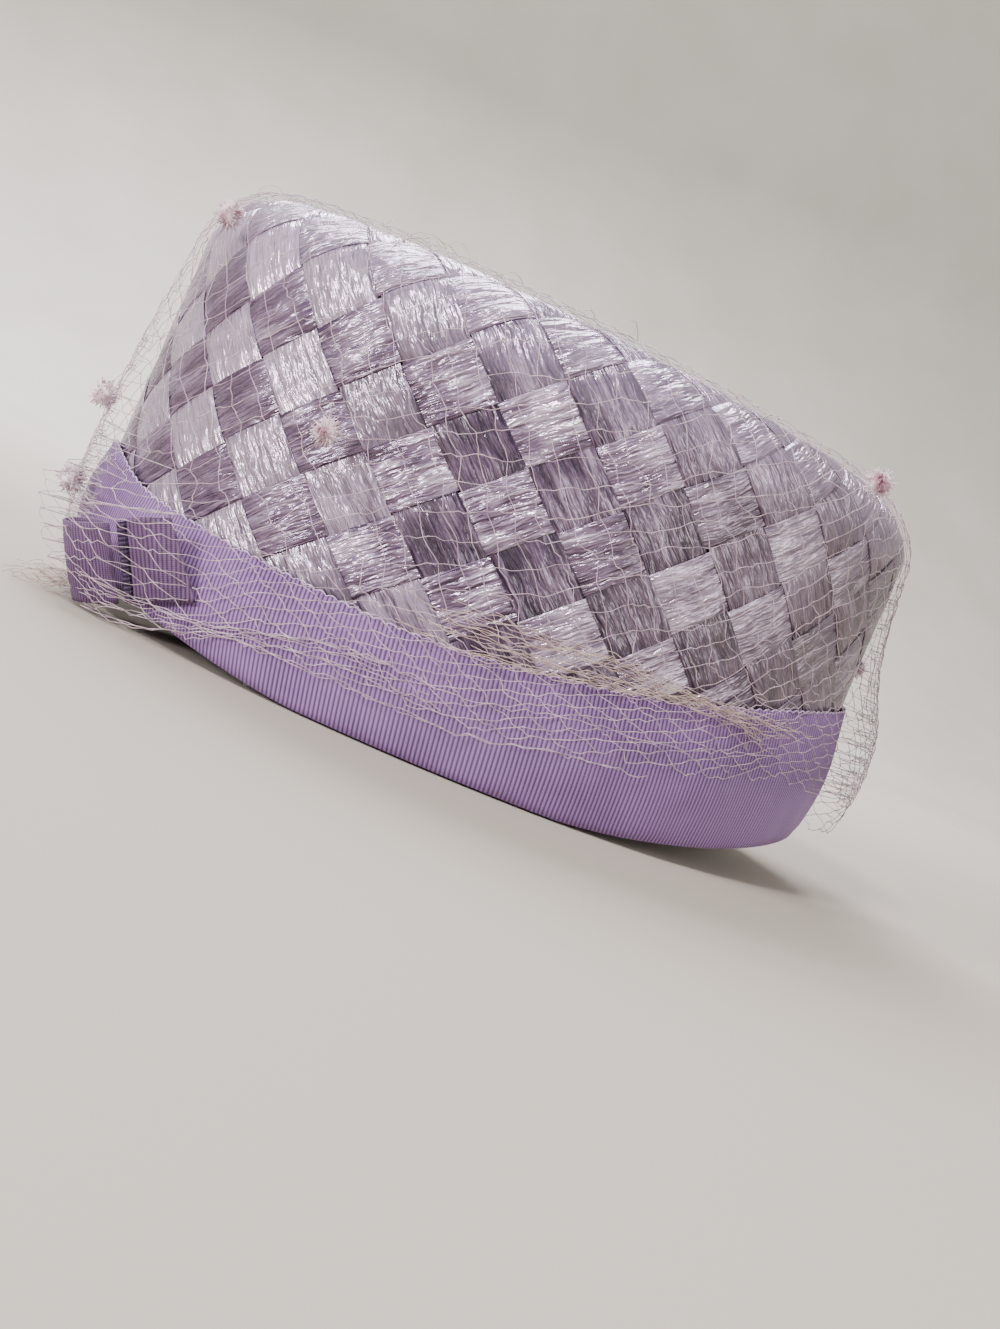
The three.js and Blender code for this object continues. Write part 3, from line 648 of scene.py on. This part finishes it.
def weave_tip(along_y):
    bm = new_sheet_mesh()
    inset = WALL_LEAN * WALL_TOP + SHOULDER_RADIUS + TIP_INSET - TIP_OVERLAP
    half_x, half_y = HALF_WIDTH - inset, HALF_LENGTH - inset
    half_across, half_along = (half_x, half_y) if along_y else (half_y, half_x)
    count = 2 * math.ceil(half_across / TIP_STRIP_WIDTH - 0.5) + 1
    for strip in range(count):
        middle = (strip - (count - 1) / 2) * TIP_STRIP_WIDTH
        seed = 80 + strip + (0 if along_y else 20)
        low = max(middle - TIP_STRIP_WIDTH / 2 * STRIP_FILL, -half_across * 0.997)
        high = min(middle + TIP_STRIP_WIDTH / 2 * STRIP_FILL, half_across * 0.997)
        odd = (strip + (0 if along_y else 1)) % 2

        def place(u, v, low=low, high=high, middle=middle, seed=seed, odd=odd):
            across = mix(low, high, v)
            reach = half_along * np.sqrt(np.maximum(0, 1 - (across / half_across) ** 2))
            along = (2 * u - 1) * reach
            share = (across - middle) / (TIP_STRIP_WIDTH / 2)
            wave = np.cos(math.pi * (along / TIP_STRIP_WIDTH + odd))
            lie = over_under(wave)
            folds = crinkle(np.stack((along * 70, v * 9), axis=1), 1.0, seed)
            out = TIP_LIFT + STRIP_WAVE * lie + STRIP_DOME * (1 - share**2) + STRIP_FOLD_HEIGHT * folds
            x, y = (across, along) if along_y else (along, across)
            edge = smoothstep(np.hypot(x / half_x, y / half_y), 0.95, 1.0)
            z = CROWN_HEIGHT + out * (1 - edge) + TIP_EDGE_LIFT * edge - TOP_SLOPE * y
            return np.stack((x, y + CROWN_AXIS_Y, z), axis=1)

        def pattern(u, v, seed=seed):
            along = (2 * u - 1) * half_along
            return np.stack((along, (v - 0.5) * STRIP_WIDTH, np.full_like(u, seed)), axis=1)

        verts = add_sheet(bm, 72, 12, place, pattern)
        if along_y:
            bmesh.ops.reverse_faces(bm, faces=list({face for vert in verts for face in vert.link_faces}))
    return bm


tip_long = finish_piece(weave_tip(True), "tip_strips_long", straw_rising_painted_light)
thicken(tip_long, STRAW_GAUGE)
tip_cross = finish_piece(weave_tip(False), "tip_strips_cross", straw_falling_painted_light)
thicken(tip_cross, STRAW_GAUGE)
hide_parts("crown_tip")
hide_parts("crown_tip")


# Ribbon band


def band_point(turn, out, height):
    return oval_point(turn, out - WALL_LEAN * height, height)


def ribbon_band():
    """The band, joined under the bow's knot."""
    bm = new_sheet_mesh()
    columns = SCALLOP_COLUMNS * round(GIRTH / SCALLOP_PITCH)
    many, few = BAND_RIPPLES

    def place(u, v):
        turn = u + BOW_TURN
        low = rim_lift(turn)
        top = band_top(turn)
        scallop = SCALLOP_HEIGHT * np.abs(np.sin(math.pi * turn * columns / SCALLOP_COLUMNS))
        ripple = np.sin(2 * math.pi * (many * turn + 0.3 * v)) * np.sin(2 * math.pi * (few * turn + 0.8 * v))
        inner = np.clip(v / FOLD_SHARE, 0, 1)
        under = np.clip((v - FOLD_SHARE) / (UNDER_SHARE - FOLD_SHARE), 0, 1)
        outer = np.clip((v - UNDER_SHARE) / (1 - UNDER_SHARE), 0, 1)
        face = (1 - np.cos(math.pi * under)) / 2
        out = mix(BAND_INSIDE, BAND_OUTSIDE, face)
        sunk = BAND_CORNER * (1 - np.sin(math.pi * under))
        edge = low + BAND_CORNER + (top - low - BAND_CORNER) * outer
        height = np.where(v <= FOLD_SHARE, mix(low + BAND_FOLD, low + BAND_CORNER, inner), low + sunk)
        height = np.where(v > UNDER_SHARE, edge + scallop * smoothstep(outer, 0.9, 1.0), height)
        out = out + np.where(v > UNDER_SHARE, BAND_BULGE * np.sin(math.pi * outer) + BAND_RIPPLE * ripple, 0)
        return band_point(turn, out, height)

    def pattern(u, v):
        across = v * BAND_CUT_WIDTH
        return np.stack((u * GIRTH + across * RIB_LEAN, across, np.zeros_like(u)), axis=1)

    add_sheet(bm, columns, BAND_ROWS, place, pattern)
    bmesh.ops.remove_doubles(bm, verts=bm.verts, dist=0.000001)
    return bm


# first colour: painted shade in the rib grooves; second: painted highlight on the crests
band_cloth = ribbon_material("grosgrain_band", colour(54, 30, 70), colour(146, 108, 166), RIB_PITCH)
bow_cloth = ribbon_material("grosgrain_bow", colour(46, 26, 54), colour(104, 74, 114), RIB_PITCH)
band = finish_piece(ribbon_band(), "band_ribbon", band_cloth)
thicken(band, RIBBON_GAUGE)
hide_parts("ribbon_band")


# Bow


def bow_matrix():
    seat = BOW_RIBBON_WIDTH / 2 * math.sin(BOW_TILT) + CLEARANCE
    out = BAND_OUTSIDE + BAND_BULGE + seat
    base = Vector(band_point(BOW_TURN, out, BOW_HEIGHT))
    outward = (Vector(band_point(BOW_TURN, out + 0.001, BOW_HEIGHT)) - base).normalized()
    turn = Matrix.Rotation(BOW_RISE, 3, outward)
    up = Vector((0, 0, 1))
    ribbon = turn @ outward.cross(up)
    across = turn @ (up * math.cos(BOW_TILT) + outward * math.sin(BOW_TILT))
    face = across.cross(ribbon)
    turned = Matrix((ribbon, face, across)).transposed().to_4x4()
    return Matrix.Translation(base) @ turned


bow_frame = np.array(bow_matrix())


def bow_point(along, out, across):
    rows = np.stack(np.broadcast_arrays(along, out, across, 1.0), axis=-1)
    return rows @ bow_frame.T[:, :3]


def bow_knot():
    bm = new_sheet_mesh()

    def place(u, v):
        angle = mix(-KNOT_WRAP, math.pi + KNOT_WRAP, u)
        half = KNOT_WIDTH / 2 * 0.8
        across = (v - 0.5) * BOW_RIBBON_WIDTH
        pinch = 1 - 0.12 * np.sin(math.pi * v)
        along = half * pinch * np.sign(np.cos(angle)) * np.abs(np.cos(angle)) ** 0.5
        crease = 0.0003 * np.sin(9 * angle)
        lift = np.maximum(np.sin(angle), 0) ** 0.55
        out = KNOT_DEPTH * 0.6 * lift + crease * lift
        return bow_point(along, out, across)

    def pattern(u, v):
        return np.stack(((v - 0.5) * BOW_RIBBON_WIDTH, u * 0.02, np.ones_like(u)), axis=1)

    add_sheet(bm, 24, 16, place, pattern)
    return bm


def bow_loop():
    bm = new_sheet_mesh()
    middle = KNOT_WIDTH / 2 + CLEARANCE + LOOP_LENGTH / 2

    def place(u, v):
        angle = math.pi + 2 * math.pi * u
        swell = 0.75 + 0.25 * np.cos(angle)
        slack = 0.0006 * np.sin(math.pi * v) * np.sin(2 * angle)
        along = middle + LOOP_LENGTH / 2 * np.cos(angle)
        out = LOOP_DEPTH / 2 + LOOP_DEPTH / 2 * np.sin(angle) * swell + slack
        return bow_point(along, out, (v - 0.5) * BOW_RIBBON_WIDTH)

    def pattern(u, v):
        return np.stack((u * 0.056, v * BOW_RIBBON_WIDTH, np.ones_like(u)), axis=1)

    add_sheet(bm, 64, 14, place, pattern)
    return bm


def bow_tail():
    bm = new_sheet_mesh()
    start = KNOT_WIDTH / 2 + CLEARANCE

    def place(u, v):
        across = (v - 0.5) * BOW_RIBBON_WIDTH
        along = start + mix(TAIL_LOW_LENGTH, TAIL_TOP_LENGTH, v) * u
        lean = mix(BOW_TILT, TAIL_END_TILT, along / TAIL_LOW_LENGTH)
        ripple = 0.0005 * np.sin(math.pi * u * 1.5) * v
        out = BAND_OUTSIDE + BAND_BULGE + CLEARANCE + (across + BOW_RIBBON_WIDTH / 2) * np.sin(lean) + 0.001
        shift = across * math.sin(BOW_RISE) * math.cos(BOW_TILT)
        height = BOW_HEIGHT + across * np.cos(lean) + along * math.sin(TAIL_RISE)
        return band_point(BOW_TURN + (along - shift) / GIRTH, out + ripple, height)

    def pattern(u, v):
        along = mix(TAIL_LOW_LENGTH, TAIL_TOP_LENGTH, v) * u
        return np.stack((along, v * BOW_RIBBON_WIDTH, np.ones_like(u)), axis=1)

    add_sheet(bm, 32, 18, place, pattern)
    return bm


# The knot's ribbon is the bow's, painted darker as painted shade where the loop shades it.
knot_cloth_painted_shade = ribbon_material("grosgrain_knot_painted_shade", colour(34, 20, 44), colour(70, 46, 82), RIB_PITCH)
knot = finish_piece(bow_knot(), "bow_knot_ribbon", knot_cloth_painted_shade)
loop = finish_piece(bow_loop(), "bow_loop_ribbon", bow_cloth)
tail = finish_piece(bow_tail(), "bow_tail_ribbon", bow_cloth)
for piece, node in ((knot, "bow_knot"), (loop, "bow_loop_far"), (tail, "bow_tail_near")):
    thicken(piece, RIBBON_GAUGE)
    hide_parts(node)


# Veil


def turn_apart(a, b):
    apart = np.mod(np.abs(a - b), 1)
    return np.minimum(apart, 1 - apart)


def veil_edge(turn):
    turns, heights = zip(*VEIL_EDGE)
    return np.interp(turn, turns, heights, period=1) + VEIL_EDGE_WAVE * np.sin(22 * math.pi * turn)


def bow_cover(turn, rise):
    """How far the bow holds the net off the band."""
    past = (np.mod(turn - BOW_TURN + 0.5, 1) - 0.5) * GIRTH
    beside = smoothstep(past, -LOOP_LENGTH - 0.009, -LOOP_LENGTH - 0.003)
    beside = beside * (1 - smoothstep(past, TAIL_TOP_LENGTH, TAIL_LOW_LENGTH + 0.004))
    height = np.exp(-(((rise - BOW_HEIGHT - 0.002) / 0.017) ** 4))
    lean = (rise - BOW_HEIGHT + BOW_RIBBON_WIDTH / 2) * math.tan(BOW_TILT)
    on_loop = 1 - smoothstep(past, 0.0, 0.007)
    far_end = np.clip(-past / LOOP_LENGTH, 0, 1) ** 2 * 0.002
    return beside * height * (np.clip(lean, 0, 0.01) + 0.0017 + (LOOP_DEPTH + 0.0007 + far_end) * on_loop)


def veil_surface(turn, rise, extra):
    rise = np.maximum(rise, VEIL_LOWEST / 2)
    over = smoothstep(rise, band_top(turn) - 0.006, band_top(turn) + 0.012)
    out = mix(VEIL_OVER_BAND, VEIL_OVER_STRAW, over) + bow_cover(turn, rise) + extra
    for at, spread, height, tall, depth in VEIL_PUFFS:
        aside = turn_apart(turn, at) / spread
        above = (rise - height * CROWN_HEIGHT) / (tall * CROWN_HEIGHT)
        out = out + depth * SHOULDER_RADIUS * np.exp(-(aside**2) - above**2)
    return crown_point(turn, rise, out, rim=0.0)


def dot_pulls():
    """Where the veil would run under each dot, and how far it is drawn up to it."""
    turns, rises = np.meshgrid(np.linspace(0, 1, 301), np.linspace(0.01, SIDE_END, 90))
    surface = veil_surface(turns.ravel(), rises.ravel(), 0.0)
    pulls = []
    for index in range(1, DOT_COUNT + 1):
        low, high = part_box(f"veil_dot_{index}")
        centre = np.array((low + high) / 2)
        distance = np.linalg.norm(surface - centre, axis=1)
        nearest = surface[int(np.argmin(distance))]
        pulls.append((nearest, centre - nearest))
    return pulls


pulls = dot_pulls()


def veil_point(turn, rise, extra=0.0):
    """Points on the veil: on the band, over the bow and the straw, drawn up to each dot."""
    turn, rise, extra = np.broadcast_arrays(turn, rise, extra)
    points = veil_surface(turn, rise, extra)
    moved = points.copy()
    for place, pull in pulls:
        near = np.exp(-((np.linalg.norm(points - place, axis=-1) / DOT_PULL) ** 2))
        moved += near[..., None] * pull
    return moved


rising_side = np.array((math.cos(RISING_ANGLE), math.sin(RISING_ANGLE))) * MESH_SIDE
falling_side = np.array((math.cos(FALLING_ANGLE), -math.sin(FALLING_ANGLE))) * MESH_SIDE
lattice_round = RISING_STEPS * rising_side + FALLING_STEPS * falling_side
VEIL_TOP = SHOULDER_END + VEIL_TURN_IN


def gathered(turn, height):
    """The rise of a place on the net, height above its lower edge before it is gathered at the band."""
    edge = float(veil_edge(turn))
    hold = float(np.exp(-((turn_apart(turn, GATHER_TURN) / GATHER_SPREAD) ** 2)))
    seam = float(band_top(turn)) + 0.0015 + 0.004 * (1 - hold)
    below = (seam - edge) / BAND_SQUEEZE
    taken = GATHER_DEPTH * hold + 0.004
    width = 0.0035 * hold + 0.004
    heights = (0, below, below + taken, VEIL_HEIGHT)
    rises = (edge, seam - width / 2, seam + width / 2, VEIL_TOP)
    return float(np.interp(height, heights, rises))


def knot_place(i, j):
    """Turn, rise and unstretched height of the knot i rising and j falling mesh sides from the first one."""
    flat = i * rising_side + j * falling_side
    turn = flat[0] / lattice_round[0]
    height = flat[1] - lattice_round[1] * turn
    jitter = noise.cell_vector(Vector((i % RISING_STEPS * 1.7, height * 4000, 3)))
    round_it = Vector((math.cos(2 * math.pi * turn) * 8, math.sin(2 * math.pi * turn) * 8, height * 70))
    drift = noise.noise_vector(round_it)
    zigzag = KNOT_ZIGZAG if (i + j) % 2 else -KNOT_ZIGZAG
    moved_turn = turn + (drift.x * 0.0024 + (jitter.x - 0.5) * KNOT_SHIFT + zigzag) / GIRTH
    moved_height = height + drift.y * 0.0024 + (jitter.y - 0.5) * KNOT_SHIFT + zigzag
    return moved_turn, gathered(moved_turn, moved_height), height


def add_line(curve, points):
    spline = curve.splines.new("POLY")
    spline.points.add(len(points) - 1)
    flat = np.concatenate((points, np.ones((len(points), 1))), axis=1)
    spline.points.foreach_set("co", flat.ravel())


def new_cords(name, radius):
    curve = bpy.data.curves.new(name, "CURVE")
    curve.dimensions = "3D"
    curve.bevel_depth = radius
    curve.bevel_resolution = 0
    curve.use_fill_caps = True
    return curve


def finish_cords(curve, name, material):
    curve.materials.append(material)
    piece = bpy.data.objects.new(name, curve)
    bpy.context.scene.collection.objects.link(piece)
    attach(piece, "root")
    return piece


def veil_lines(curve, rising):
    """One family of the veil's cords, each from knot to knot with a little slack. Returns the knots."""
    lines = FALLING_STEPS if rising else RISING_STEPS
    knots = []
    reach = math.ceil(VEIL_HEIGHT / min(rising_side[1], -falling_side[1])) + 1
    for line in range(lines):
        first = round(line * -falling_side[1] / rising_side[1])
        last = round(line * rising_side[1] / -falling_side[1])
        found = []
        for k in range(-1, reach):
            place = knot_place(first + k, line) if rising else knot_place(line, last - k)
            if 0 <= place[2] <= VEIL_HEIGHT:
                found.append(place[:2])
        found.sort(key=lambda place: place[1])
        turns, rises = np.array(found).T
        index = np.arange(len(found))
        fine = np.linspace(0, len(found) - 1, CORD_PIECES * (len(found) - 1) + 1)
        between = np.arange(len(fine)) % CORD_PIECES > 0
        slack = np.array([rng.uniform(-1, 1) for _ in fine]) * VEIL_SLACK * between
        lift = np.array([rng.uniform(0, 1) for _ in fine]) * VEIL_SLACK * between
        points = veil_point(np.interp(fine, index, turns), np.interp(fine, index, rises) + slack, lift)
        add_line(curve, points)
        if rising:
            knots.extend(points[::CORD_PIECES])
    return knots


veil_thread = thread_material("veil_thread", colour(146, 122, 134), colour(192, 171, 180), 300.0, 0.5)
loose_thread = thread_material("loose_thread", colour(150, 124, 116), colour(196, 174, 160), 300.0, 0.5)
veil_curve = new_cords("veil_cords", CORD_RADIUS)
veil_knots = veil_lines(veil_curve, True)
veil_lines(veil_curve, False)
veil = finish_cords(veil_curve, "veil_cords", veil_thread)
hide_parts("veil_net")


def veil_lumps(places):
    """A tiny lump of thread at each crossing of the net."""
    curve = new_cords("veil_knots", KNOT_RADIUS)
    for place in places:
        reach = np.array([rng.uniform(-1, 1) for _ in range(3)]) * KNOT_RADIUS
        add_line(curve, np.array((place - reach, place + reach)))
    return curve


def kinked(points, step, kink):
    """The way along the points in short straight steps, each end thrown a little aside."""
    points = np.array(points)
    lengths = np.linalg.norm(np.diff(points, axis=0), axis=1)
    run = np.concatenate(([0], np.cumsum(lengths)))
    places = np.linspace(0, run[-1], max(3, round(run[-1] / step)))
    smooth = np.stack([np.interp(places, run, points[:, axis]) for axis in range(3)], axis=1)
    return smooth + np.array([[rng.uniform(-kink, kink) for _ in range(3)] for _ in places])


def smooth_rows(rows, samples=24):
    """A smooth way through a few rows of numbers, by their order."""
    order = np.arange(len(rows))
    columns = [spline_table(list(zip(order, column)), samples) for column in zip(*rows)]
    return np.stack([values for _, values in columns], axis=1)


def gathered_bundle():
    """Strands of the gathered net that run together along the band's top edge and part again on the band."""
    curve = new_cords("veil_bundle", CORD_RADIUS)
    for line in range(BUNDLE_LINES):
        share = line / (BUNDLE_LINES - 1)
        start = rng.uniform(0.935, 0.985) - 1
        first = mix(0.0006, 0.011, share) * rng.uniform(0.6, 1.1)
        middle = mix(0.0015, 0.009, share) * rng.uniform(0.5, 1.2)
        close = rng.uniform(-0.0004, 0.0022)
        last = rng.uniform(-0.012, 0.0005)
        rows = [
            (start, first),
            (mix(start, 0.03, 0.5), mix(first, middle, 0.5) + rng.uniform(-0.002, 0.002)),
            (0.03 + rng.uniform(-0.008, 0.008), middle),
            (0.075 + rng.uniform(-0.01, 0.01), close),
            (rng.uniform(0.095, 0.135), last),
        ]
        turns, above = smooth_rows(rows).T
        over = rng.uniform(0, 0.0009)
        points = veil_point(turns, band_top(turns) + above, over)
        add_line(curve, kinked(points, BUNDLE_STEP, BUNDLE_KINK))
    return curve


def edge_strands():
    """Strands drawn together along the veil's lower edge, over the bow and on along the band."""
    curve = new_cords("veil_edge_strands", CORD_RADIUS)
    for _ in range(EDGE_STRANDS):
        spread = rng.uniform(-1, 1)
        stop = rng.uniform(0.9, 1.16)
        turns = np.linspace(BOW_TURN - 0.012, stop, 60)
        close = np.exp(-(((turns - 0.885) / 0.03) ** 2))
        above = mix(0.003 + 0.0045 * spread, 0.0012 * spread, close) + 0.003 * close
        heights = np.maximum(veil_edge(turns) + above, VEIL_LOWEST)
        points = veil_point(turns, heights, rng.uniform(0, 0.0006))
        add_line(curve, kinked(points, BUNDLE_STEP, BUNDLE_KINK))
    for _ in range(BOW_STRANDS):
        along = np.linspace(-KNOT_WIDTH / 2, TAIL_TOP_LENGTH + 0.004, 9)
        turns = BOW_TURN + (along - BOW_RIBBON_WIDTH / 2 * math.sin(BOW_RISE)) / GIRTH
        rises = BOW_HEIGHT + BOW_RIBBON_WIDTH / 2 + along * math.sin(TAIL_RISE) + rng.uniform(-0.0004, 0.0004)
        points = veil_point(turns, rises, 0.0006)
        add_line(curve, kinked(points, 0.0015, 0.0002))
    return curve


def loose_ends():
    """Frayed ends beside the bow and slack loops that stand up from the shoulder."""
    curve = new_cords("veil_loose_ends", CORD_RADIUS)
    root = band_point(BOW_TURN - LOOP_LENGTH / GIRTH, LOOP_DEPTH + BAND_OUTSIDE, 0.004)
    for _ in range(FRAYED_ENDS):
        reach = rng.uniform(0.007, 0.017)
        way = np.array((rng.uniform(-0.1, 0.5), -0.9, rng.uniform(-0.22, -0.05))) * reach
        begin = root + np.array([rng.uniform(-0.0025, 0.0025) for _ in range(3)])
        bend = begin + way * 0.5 + np.array([rng.uniform(-0.002, 0.002) for _ in range(3)])
        strand = kinked([begin, bend, begin + way], 0.0014, 0.0007)
        strand[:, 2] = np.maximum(strand[:, 2], VEIL_LOWEST / 2)
        add_line(curve, strand)
    for line in range(LOOSE_LOOPS):
        centre = rng.uniform(0.86, 1.02) if line % 3 else rng.uniform(0.2, 0.75)
        width = rng.uniform(0.008, 0.02)
        turns = centre + np.linspace(-0.5, 0.5, 9) * width
        rises = SHOULDER_END - rng.uniform(0.0, 0.014) + np.linspace(-0.5, 0.5, 9) * rng.uniform(-0.01, 0.01)
        lift = rng.uniform(0.001, 0.0045) * np.sin(np.linspace(0, math.pi, 9))
        add_line(curve, kinked(veil_point(turns, rises, lift), 0.0018, 0.0004))
    return curve


def picot_edge():
    """The row of small thread loops along the band's top edge."""
    curve = new_cords("band_picot", PICOT_RADIUS)
    loops = round(GIRTH / SCALLOP_PITCH)
    turns = np.linspace(0, 1, loops * 8 + 1)[:-1]
    bulge = SCALLOP_HEIGHT * np.abs(np.sin(math.pi * turns * loops))
    add_line(curve, band_point(turns, BAND_OUTSIDE - PICOT_RADIUS, band_top(turns) + bulge))
    curve.splines[0].use_cyclic_u = True
    return curve


picot_thread = thread_material("picot_thread", colour(166, 136, 178), colour(206, 184, 212), 400.0, 0.5)
finish_cords(picot_edge(), "band_picot", picot_thread)
knots = finish_cords(veil_lumps(veil_knots), "veil_knots", veil_thread)
bundle = finish_cords(gathered_bundle(), "veil_bundle", loose_thread)
edge = finish_cords(edge_strands(), "veil_edge_strands", veil_thread)
loose = finish_cords(loose_ends(), "veil_loose_ends", loose_thread)


# Chenille dots


def chenille_dot(index):
    """A tuft of short fibres round a small core, where the dot's solid is."""
    low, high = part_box(f"veil_dot_{index}")
    centre = (low + high) / 2
    radius = (high.x - low.x) / 2
    bm = bmesh.new()
    core = bmesh.ops.create_icosphere(bm, subdivisions=2, radius=radius * DOT_CORE)
    for vert in core["verts"]:
        vert.co *= 1 + 0.5 * noise.noise(vert.co * 420 + Vector((index, 0, 0)))
    for _ in range(DOT_FIBRES):
        direction = Vector((rng.gauss(0, 1), rng.gauss(0, 1), rng.gauss(0, 1))).normalized()
        length = radius * rng.uniform(*DOT_FIBRE_LENGTH)
        fibre = bmesh.ops.create_cone(
            bm,
            cap_ends=True,
            segments=3,
            radius1=DOT_FIBRE_ROOT,
            radius2=DOT_FIBRE_END,
            depth=length,
        )
        lean = Vector((rng.gauss(0, 1), rng.gauss(0, 1), rng.gauss(0, 1))) * 0.35
        turn = (direction + lean).to_track_quat("Z", "Y").to_matrix().to_4x4()
        moved = Matrix.Translation(direction * length / 2) @ turn
        bmesh.ops.transform(bm, matrix=moved, verts=fibre["verts"])
    bmesh.ops.translate(bm, vec=centre, verts=bm.verts)
    return bm


chenille = thread_material("chenille", colour(142, 102, 116), colour(226, 207, 214), 260.0, 0.9)
for dot_index in range(1, DOT_COUNT + 1):
    dot = finish_piece(chenille_dot(dot_index), f"dot_{dot_index}_tuft", chenille)
    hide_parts(f"veil_dot_{dot_index}")


# Stage, light and camera


def backdrop():
    bm = bmesh.new()
    made = bmesh.ops.create_grid(bm, x_segments=2, y_segments=48, size=1.0)
    for vert in made["verts"]:
        share = (vert.co.y + 1) / 2
        reach = mix(PAPER_NEAR, PAPER_FAR, share)
        bent = (reach - PAPER_BEND_START) / (PAPER_BEND_END - PAPER_BEND_START)
        bend = min(max(bent, 0), 1) * QUARTER
        back = min(reach, PAPER_BEND_START) + PAPER_BEND_SIZE * math.sin(bend)
        up = PAPER_BEND_SIZE * (1 - math.cos(bend)) + max(reach - PAPER_BEND_END, 0)
        vert.co = Vector((-back, vert.co.x * PAPER_HALF_WIDTH, up))
    bmesh.ops.reverse_faces(bm, faces=bm.faces)
    mesh = bpy.data.meshes.new("backdrop")
    bm.to_mesh(mesh)
    bm.free()
    mesh.shade_smooth()
    material, tree, shader = new_material("paper")
    spot = object_place(tree)
    patches = speckle(tree, spot, 14.0, 4.0)
    tint = ramp(tree, patches, [(0.3, colour(196, 191, 180)), (0.7, colour(204, 199, 189))])
    # painted shade: the floor near the hat painted darker than the wall
    floor_shade_fade = ranged(tree, add_node(tree, "ShaderNodeSeparateXYZ", {"Vector": spot}).outputs["X"], *PAPER_SHADE_FADE)
    tree.links.new(blended(tree, floor_shade_fade, colour(170, 161, 150), tint), shader.inputs["Base Color"])
    shader.inputs["Roughness"].default_value = 0.9
    mesh.materials.append(material)
    paper = bpy.data.objects.new("backdrop", mesh)
    bpy.context.scene.collection.objects.link(paper)


def area_light(name, place, target, size, power, tint):
    light = bpy.data.lights.new(name, "AREA")
    light.shape = "SQUARE"
    light.size = size
    light.energy = power
    light.color = tint
    lamp = bpy.data.objects.new(name, light)
    lamp.location = place
    lamp.rotation_mode = "QUATERNION"
    lamp.rotation_quaternion = (Vector(target) - Vector(place)).to_track_quat("-Z", "Y")
    bpy.context.scene.collection.objects.link(lamp)


def light_room():
    world = bpy.data.worlds.new("room")
    world.use_nodes = True
    background = world.node_tree.nodes["Background"]
    background.inputs["Color"].default_value = (0.86, 0.85, 0.84, 1)
    background.inputs["Strength"].default_value = 0.62
    bpy.context.scene.world = world
    middle = (0, 0, 0.06)
    area_light("above", (0.70, -0.60, 1.00), middle, 0.19, 17.0, (1.0, 0.96, 0.96))
    area_light("front", (0.62, -1.10, 0.30), middle, 0.28, 19.0, (1.0, 0.96, 0.98))
    area_light("sky", (-0.75, -0.15, 0.95), middle, 0.70, 32.0, (0.95, 0.94, 1.0))
    area_light("fill", (1.0, 0.9, 0.5), middle, 0.9, 11.0, (1.0, 0.95, 0.94))


def place_camera():
    data = bpy.data.cameras.new("camera")
    data.sensor_fit = "AUTO"
    data.sensor_width = SENSOR
    data.lens = SENSOR * FOCAL_PIXELS / PHOTO_HEIGHT
    data.clip_start = 0.01
    data.clip_end = 20
    camera = bpy.data.objects.new("camera", data)
    right, up = CAMERA_RIGHT.normalized(), CAMERA_UP.normalized()
    back = right.cross(up)
    camera.matrix_world = Matrix.Translation(CAMERA_PLACE) @ Matrix((right, up, back)).transposed().to_4x4()
    bpy.context.scene.collection.objects.link(camera)
    bpy.context.scene.camera = camera


backdrop()
light_room()
place_camera()
